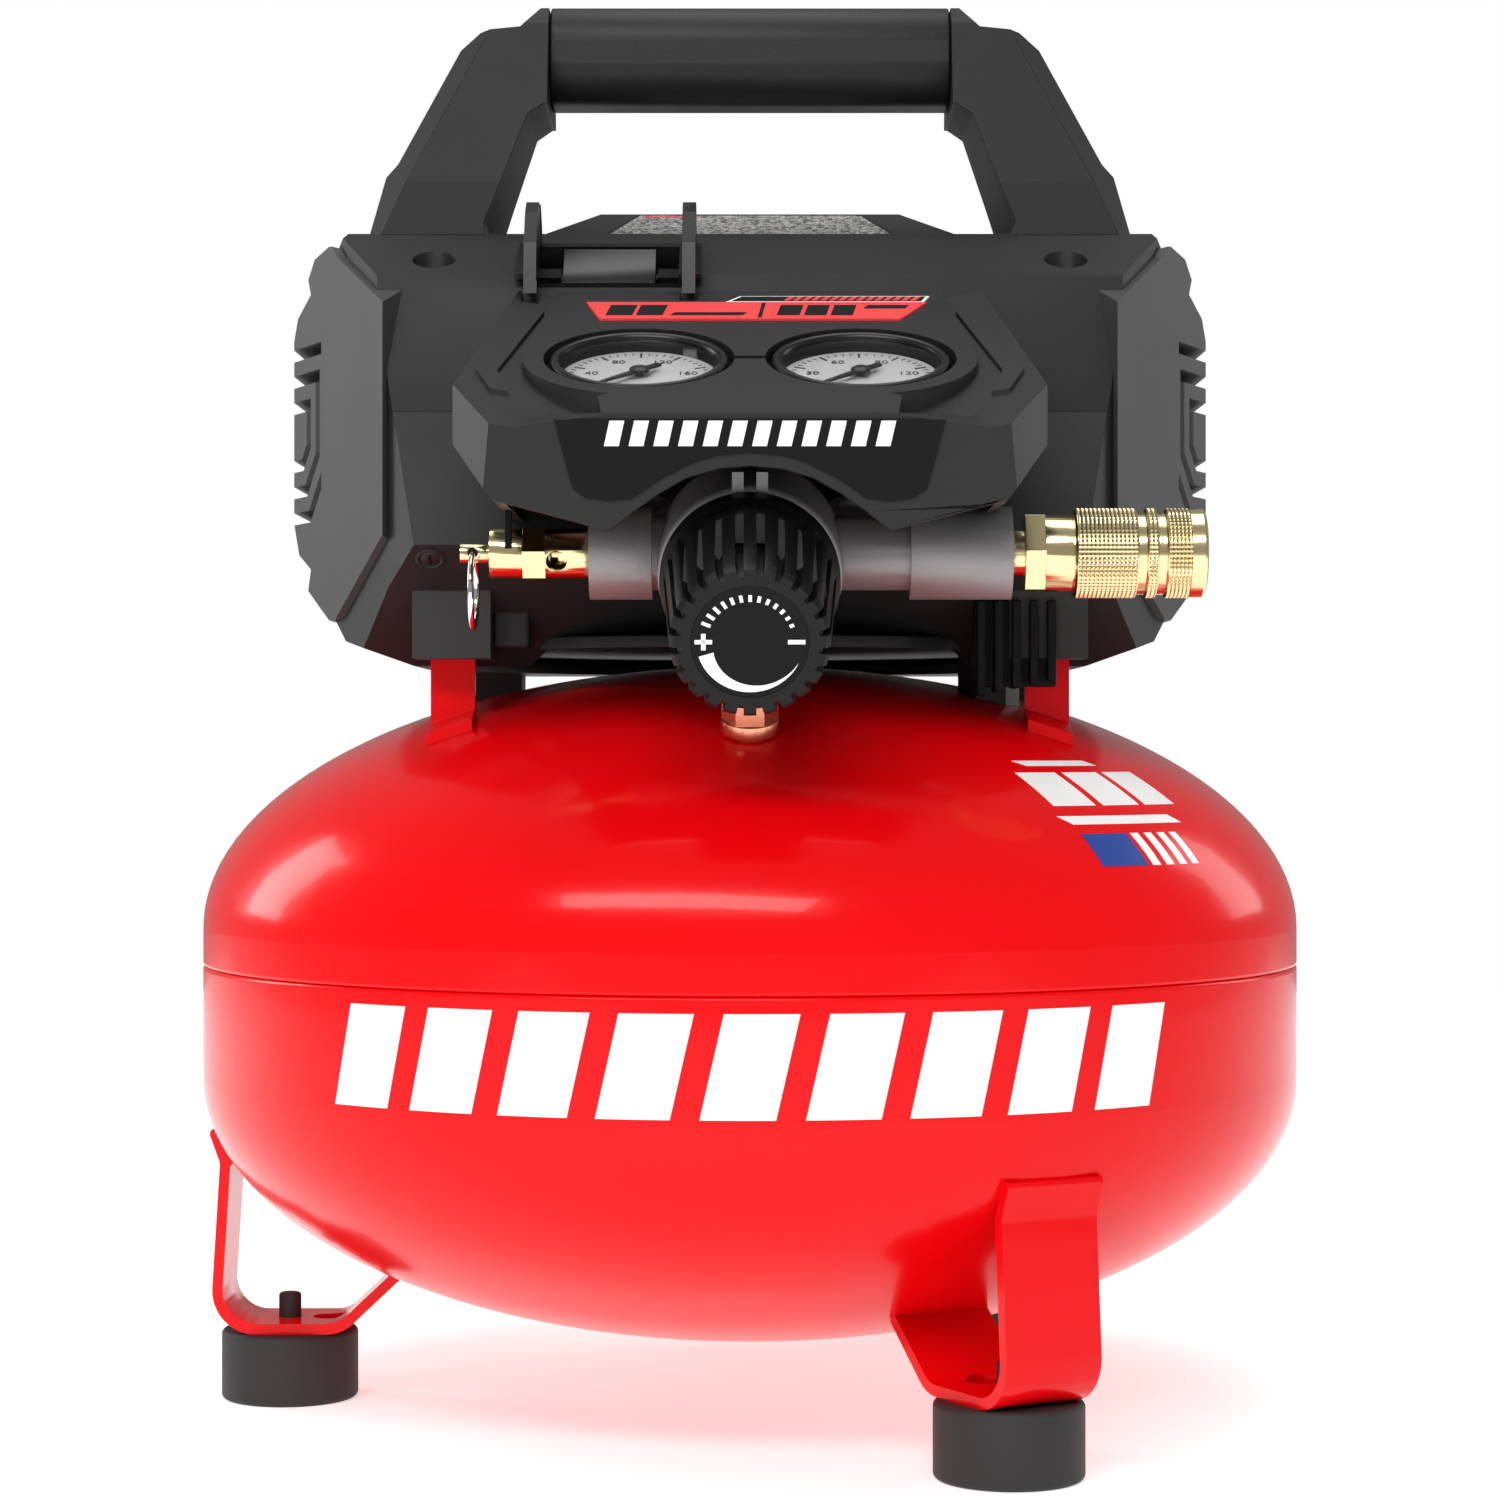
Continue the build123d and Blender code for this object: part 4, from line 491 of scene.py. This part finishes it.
def plateau():
    """The raised middle with its collars round the gauges."""
    half = ([(51, 62), (57.6, 6)] + arc(COLLAR_R, 22, 4, -82, GAUGE_X) + [(37.5, -31), (35.5, -50)])
    outline = half + [(-u, v) for u, v in reversed(half)]
    return carve(prism(plan(outline), 240, panel_height), cover_planes(0))


def rim(sign):
    """The raised lip from the middle to the front corner."""
    outline = [(sign * 36, -165), (sign * 68, -165), (sign * 68, -147), (sign * 54, -152), (sign * 36, -157)]
    top = lambda x, y: 267.2 - 0.2 * max(abs(x) - 46.6, -1.0) + 0.25 * (y + 160.5)
    return carve(prism(outline, 245, top), cover_planes(0))


def chevron(sign):
    """The pointed ridge beside each gauge."""
    outline = [(54.4, -83), (63.6, -128.6), (60.0, -141.0), (64.6, -141.0), (69.0, -129), (60.6, -95)]
    return prism([(sign * x, y) for x, y in outline],
                 lambda x, y: skirt_height(x, y, -1.5), lambda x, y: skirt_height(x, y, 1.3))


cover = combined(half_skirt(-1), half_skirt(1), "UNION")
cover = combined(cover, plateau(), "UNION")
for sign in (-1, 1):
    cover = combined(cover, rim(sign), "UNION")
    cover = combined(cover, chevron(sign), "UNION")
for side, spot in GAUGES.items():
    well = lathe([(0, -12), (WELL_R, -12), (WELL_R, 12), (0, 12)], 72)
    well.transform(WORLD.inverted() @ spot)
    cover = combined(cover, well, "DIFFERENCE")
hollow = carve(prism(box((160, 150), (0, -110)), 200, lambda x, y: panel_height(x, y, -9.5)),
               cover_planes(WALL, lower=False))
for sign in (-1, 1):
    carve(hollow, [(Vector((sign * 61.5, 0, 249)), Vector((sign * 16, 0, -10)))])
cover = combined(cover, hollow, "DIFFERENCE")
slot = prism(box((14, 2.4), (0, 0)), -1.4, 12)
slot.transform(WORLD.inverted() @ PANEL)
cover = combined(cover, slot, "DIFFERENCE")
for ear_x in (-58.8, -16.4):
    cover = combined(cover, prism(box((4.8, 14), (ear_x, -68)), 285, 330), "DIFFERENCE")
ARCH = [(0, 255.2), (7.5, 254.6), (15.5, 252.3), (22.5, 248.4), (28.5, 244.2), (34, 240), (38, 232)]
arch = prism([(-x, z) for x, z in ARCH[:0:-1]] + ARCH, -200, -100)
arch.transform(UPRIGHT)
cover = combined(cover, arch, "DIFFERENCE")
for start, end in ((-95, -20), (20, 95)):
    passage = lathe([(0, start), (12.7, start), (12.7, end), (0, end)], 50)
    passage.transform(WORLD.inverted() @ TUBE)
    cover = combined(cover, passage, "DIFFERENCE")
piece("panel_cover", cover, DASH, bevel=0.9, replaces=("dash_cover",))

# Printed film: label text gives way to plain bars
BARS = bmesh.new()
for first, last, low, high in ((-38, -31, 34, 43), (-30, -23, 34, 43), (-21, -2, 34, 36.5), (2, 3, 32, 45),
                               (7, 13, 34, 43), (14.2, 20, 34, 43), (21.2, 27, 34, 43), (30, 41, 40, 43)):
    prism([(first, low), (last, low), (last + 1.2, high), (first + 1.2, high)], 0.55, 0.68, into=BARS)
piece("label_bars", BARS, FILM, place=PANEL)
STRIP = [(-6.5, 46.6), (-2.6, 52), (48, 52), (46.2, 46.6)]
piece("strip_outline", prism(STRIP, 0.1, 0.4), WHITE, place=PANEL)
piece("strip_film", prism([(-4.9, 47.2), (-2.2, 51.3), (46.9, 51.3), (45.5, 47.2)], 0.3, 0.5), FILM,
      place=PANEL)
HATCH_COUNT, HATCH_START, HATCH_STEP = 15, 9, 2.4
hatch = bmesh.new()
for i in range(HATCH_COUNT):
    u = HATCH_START + i * HATCH_STEP
    prism([(u, 47.6), (u + 1.5, 47.6), (u + 3.1, 50.9), (u + 1.6, 50.9)], 0.45, 0.6, into=hatch)
piece("strip_hatch", hatch, LABEL_RED, place=PANEL)

FRONT_FACE = axes_at(FRONT_TOP * MM, (1, 0, 0), FRONT_OUT)
SLASH_COUNT, SLASH_START, SLASH_STEP = 12, -35.5, 6.0
slashes = bmesh.new()
for i in range(SLASH_COUNT):
    x = SLASH_START + i * SLASH_STEP
    prism([(x, -8.0), (x + 3.6, -8.0), (x + 5.0, -1.8), (x + 1.4, -1.8)], 0.5, 0.72, into=slashes)
piece("front_slashes", slashes, WHITE, place=FRONT_FACE)

# ------------------------------------------------------------------ gauges
DIAL_START, DIAL_SWEEP, DIAL_STEPS = -45, 270, 40
NUMBERS, NUMBER_R, NUMBER_SIZE = 6, 12.4, 3.6
NUMBER_STEP = {"left": 40, "right": 30}


def tick(degrees, inner, outer, half_width):
    """Outline of a radial tick mark."""
    turn = math.radians(degrees)
    out, across = Vector((math.cos(turn), math.sin(turn))), Vector((-math.sin(turn), math.cos(turn)))
    corners = ((inner, -half_width), (outer, -half_width), (outer, half_width), (inner, half_width))
    return [tuple(out * r + across * w) for r, w in corners]


cases, dials, lenses = (bmesh.new() for _ in range(3))
for side, spot in GAUGES.items():
    local = PANEL.inverted() @ spot
    parts = (
        (cases, lathe([(19.5, -21.5), (23.6, -21.5), (23.7, -2.6), (22.9, -2.2), (22.7, -0.9), (22.2, -0.3),
                       (21.3, -0.2), (20.5, -0.5), (20.1, -1.4), (20.0, -6.6), (19.6, -7.0)], 96)),
        (dials, lathe([(0, -6.3), (20.3, -6.3), (20.3, -5.6), (1.3, -5.6), (1.3, -5.5), (0, -5.5)], 72)),
        (lenses, lathe([(0, -2.4), (20.2, -2.4), (20.2, -1.5), (0, -1.5)], 72)),
    )
    for target, shape in parts:
        shape.transform(local)
        extra = bpy.data.meshes.new("part")
        shape.to_mesh(extra)
        shape.free()
        target.from_mesh(extra)
        bpy.data.meshes.remove(extra)
    ticks = bmesh.new()
    for i in range(DIAL_STEPS + 1):
        inner, wide = (15.2, 0.32) if i % 5 == 0 else (16.9, 0.14)
        prism(tick(DIAL_START + DIAL_SWEEP * i / DIAL_STEPS, inner, 18.2, wide), -5.62, -5.48, into=ticks)
    piece("gauge_ticks_" + side, ticks, BLACK, place=spot)
    for i in range(NUMBERS):
        turn = math.radians(DIAL_START + DIAL_SWEEP - DIAL_SWEEP * i / (NUMBERS - 1))
        bpy.ops.object.text_add()
        text = bpy.context.object
        text.data.body = str(i * NUMBER_STEP[side])
        text.data.align_x, text.data.align_y = "CENTER", "CENTER"
        text.data.size, text.data.extrude = NUMBER_SIZE, 0.05
        figures = bpy.data.meshes.new_from_object(text)
        bpy.data.objects.remove(text)
        number = bmesh.new()
        number.from_mesh(figures)
        number.transform(Matrix.Translation((NUMBER_R * math.cos(turn), NUMBER_R * math.sin(turn), -5.52)))
        piece("gauge_number_%s_%d" % (side, i), number, BLACK, place=spot)
piece("gauge_bezels", cases, BLACK, place=PANEL, sharp=50, replaces=("gauge_cases",))
piece("gauge_faces", dials, WHITE, place=PANEL, replaces=("gauge_dials",))
piece("gauge_windows", lenses, LENS, place=PANEL, replaces=("gauge_lenses",))
HUB = [(0, -4.3), (2.6, -4.3), (2.5, -3.6), (1.6, -3.1), (0, -2.9)]
for side, body in (("left", "tank_needle"), ("right", "outlet_needle")):
    piece("needle_hub_" + side, lathe(HUB, 32), BLACK, body=body, place=GAUGES[side])

# ------------------------------------------------------------------ knob print
PRINT_LOW, PRINT_HIGH = 64.25, 64.38
SIGN_R, SIGN_LONG, SIGN_WIDE = 11.2, 4.2, 1.1
SWOOSH_R, SWOOSH_THICK, SWOOSH_START, SWOOSH_SWEEP, SWOOSH_STEPS = 12.9, 3.7, 197, 138, 28
KNOB_TICKS, KNOB_TICK_START, KNOB_TICK_STEP = 13, 157, 11.2
prints = bmesh.new()
for x, size in ((-SIGN_R, (SIGN_LONG, SIGN_WIDE)), (-SIGN_R, (SIGN_WIDE, SIGN_LONG)),
                (SIGN_R, (SIGN_LONG, SIGN_WIDE))):
    prism(box(size, (x, 0)), PRINT_LOW, PRINT_HIGH, into=prints)
outer, inner = [], []
for i in range(SWOOSH_STEPS + 1):
    turn = math.radians(SWOOSH_START + SWOOSH_SWEEP * i / SWOOSH_STEPS)
    thick = SWOOSH_THICK * (1 - i / SWOOSH_STEPS) + 0.02
    for ring, r in ((outer, SWOOSH_R), (inner, SWOOSH_R - thick)):
        ring.append((r * math.cos(turn), r * math.sin(turn)))
for i in range(SWOOSH_STEPS):
    prism([outer[i], outer[i + 1], inner[i + 1], inner[i]], PRINT_LOW, PRINT_HIGH, into=prints)
for i in range(KNOB_TICKS):
    prism(tick(KNOB_TICK_START - KNOB_TICK_STEP * i, 10.3, 12.6 - 0.1 * i, 0.42), PRINT_LOW, PRINT_HIGH,
          into=prints)
piece("knob_print", prints, WHITE, body="knob", place=KNOB)

# ------------------------------------------------------------------ knurled sleeve of the coupler
SLEEVE_R, CUT, AROUND = 11.5, 0.34, 66
START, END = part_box("coupler_sleeve")[0].x / MM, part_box("coupler_sleeve")[1].x / MM
BANDS = ((START + 0.7, 98.4), (101.4, 103.5), (106.5, 112.4))
rows = [(START, SLEEVE_R - 0.6, False), (START + 0.6, SLEEVE_R, False)]
for k, (first, last) in enumerate(BANDS):
    cells = round((last - first) / 1.06)
    for j in range(cells * 3 + 1):
        rows.append((between(first, last, j / (cells * 3)), SLEEVE_R, j % 3 != 0))
    if k < 2:
        low, high = last + 0.2, BANDS[k + 1][0] - 0.2
        rows += [(low, SLEEVE_R - 0.1, False), (low + 0.35, SLEEVE_R - 0.85, False),
                 (high - 0.35, SLEEVE_R - 0.85, False), (high, SLEEVE_R - 0.1, False)]
rows += [(112.6, SLEEVE_R, False), (END - 0.9, SLEEVE_R, False), (END - 0.3, SLEEVE_R - 0.35, False),
         (END, SLEEVE_R - 1.0, False), (END, 8.4, False), (START + 1, 8.4, False), (START, 9.95, False)]
sleeve = bmesh.new()
rings = []
for x, r, cut in rows:
    ring = []
    for i in range(AROUND * 3):
        turn = math.tau * i / (AROUND * 3)
        here = r - (CUT if cut and i % 3 else 0)
        ring.append(sleeve.verts.new((here * math.cos(turn), here * math.sin(turn), x - MANIFOLD.x / MM)))
    rings.append(ring)
for one, two in zip(rings, rings[1:] + rings[:1]):
    for i in range(AROUND * 3):
        j = (i + 1) % (AROUND * 3)
        sleeve.faces.new((one[i], one[j], two[j], two[i]))
piece("knurled_sleeve", sleeve, BRASS, body="sleeve", place=TUBE, sharp=30,
      replaces=("coupler_sleeve",))

# ------------------------------------------------------------------ small front details
piece("hanging_tab", prism(box((1.8, 1.2), (-61, -126)), 236.8, 251), FILM, bevel=0.3)
piece("mount_block", prism(box((10, 10), (-64.3, -62)), 213.5, 229), HOUSING, bevel=1.2)
ribs = bmesh.new()
prism(box((22, 9), (71, -68)), 203, 226, into=ribs)
for i in range(5):
    prism(box((2.4, 13), (61.6 + i * 4.7, -70.5)), 200.5 + i, 226, into=ribs)
piece("mount_ribs", ribs, FILM, bevel=0.6)


def facing(node, x, z):
    """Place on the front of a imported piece, with local z straight out of its surface."""
    _, spot, out, _ = frame["nodes"][node].ray_cast(Vector((x, -300, z)) * MM, (0, 1, 0))
    return axes_at(spot, Vector((0, 0, 1)).cross(out), out)


CORNER_SCREW_X, CORNER_SCREW_Z = 84.5, 236.5
CUP = [(2.6, -0.4), (4.0, -0.4), (4.0, 0.25), (3.7, 0.45), (3.1, 0.45), (2.6, 0.05)]
for side, x in (("left", -CORNER_SCREW_X), ("right", CORNER_SCREW_X)):
    spot = facing("housing_lower", x, CORNER_SCREW_Z)
    piece("corner_cup_" + side, lathe(CUP, 40), HOUSING, place=spot)
    head = lathe([(0, -0.4), (2.65, -0.4), (2.65, 0.1), (2.2, 0.3), (0, 0.3)], 32)
    piece("corner_screw_" + side, combined(head, prism(box((0.8, 3.4), (0, 0)), 0.0, 1.0), "DIFFERENCE"),
          BLACK_STEEL_AND_SHADE, place=spot)


def bump_height(x, y, lift=0.0):
    """Sloping front of the bump behind the handle."""
    return 331 + (y + 10) * 0.36667 + lift


def on_bump(outline, low, high):
    """Thin sheet on the bump between two lifts."""
    return prism(outline, lambda x, y: bump_height(x, y, low), lambda x, y: bump_height(x, y, high))


BORDER = [(-43.5, -7), (43.5, -7), (33.5, 23), (-33.5, 23)]
GRITTY = [(-41.5, -6), (41.5, -6), (32.3, 22), (-32.3, 22)]
LINE = [(-31.5, 19.4), (-15, 19.4), (-15.6, 20.8), (-30.9, 20.8)]
piece("inlay_border", on_bump(BORDER, -0.5, 0.25), FILM)
piece("inlay_grit", on_bump(GRITTY, 0.1, 0.5), GRIT, replaces=("top_inlay",))
piece("inlay_line", on_bump(LINE, 0.45, 0.6), LABEL_RED)


# ------------------------------------------------------------------ floor, light and camera
bpy.ops.mesh.primitive_plane_add(size=3.4)
floor = bpy.context.object
floor.name = "floor"
floor_white = surface("floor_white", (0.8, 0.8, 0.8), 0.7, grain=40, bump=0.0, mottle=0.01)
floor_gloss = floor_white.node_tree.nodes["Principled BSDF"]
floor_gloss.inputs["Emission Color"].default_value = (1, 1, 1, 1)
floor_gloss.inputs["Emission Strength"].default_value = 0.55
floor.data.materials.append(floor_white)


def lamp(name, at, aim, size, power, height=None):
    data = bpy.data.lights.new(name, "AREA")
    data.shape = "RECTANGLE"
    data.size = size
    data.size_y = height or size
    data.energy = power
    made = bpy.data.objects.new(name, data)
    bpy.context.scene.collection.objects.link(made)
    made.location = at
    made.rotation_euler = (Vector(aim) - Vector(at)).to_track_quat("-Z", "Y").to_euler()
    return made


lamp("key", (-0.45, -1.8, 1.5), (0, 0, 0.15), 1.9, 30, 0.4)
lamp("left", (-1.5, 0.75, 0.75), (0, 0, 0.3), 0.5, 8, 0.9)
lamp("right", (1.5, 0.9, 0.75), (0, 0, 0.3), 0.5, 4, 0.9)
lamp("top", (0, 0.1, 2.0), (0, 0, 0.2), 1.2, 12)
world = bpy.data.worlds.new("studio")
world.use_nodes = True
air = world.node_tree


def sky(strength):
    """An even white background of a given strength."""
    made = air.nodes.new("ShaderNodeBackground")
    made.inputs["Color"].default_value = (1, 1, 1, 1)
    made.inputs["Strength"].default_value = strength
    return made


def choose(kind, otherwise, wanted):
    """Shows one background to a kind of ray, and another to the rest."""
    made = air.nodes.new("ShaderNodeMixShader")
    air.links.new(seen.outputs[kind], made.inputs["Fac"])
    air.links.new(otherwise.outputs[0], made.inputs[1])
    air.links.new(wanted.outputs[0], made.inputs[2])
    return made


seen = air.nodes.new("ShaderNodeLightPath")
lit = choose("Is Glossy Ray", sky(0.5), sky(0.3))
shown = choose("Is Camera Ray", lit, sky(1.0))
air.links.new(shown.outputs["Shader"], air.nodes["World Output"].inputs["Surface"])
bpy.context.scene.world = world
bpy.context.scene.view_settings.view_transform = "Standard"

camera = bpy.data.objects.new("camera", bpy.data.cameras.new("camera"))
camera.data.lens = 85
camera.data.sensor_width = 36
camera.location = (0, -1.020, 0.186)
camera.rotation_euler = (math.pi / 2, 0, 0)
bpy.context.scene.collection.objects.link(camera)
bpy.context.scene.camera = camera
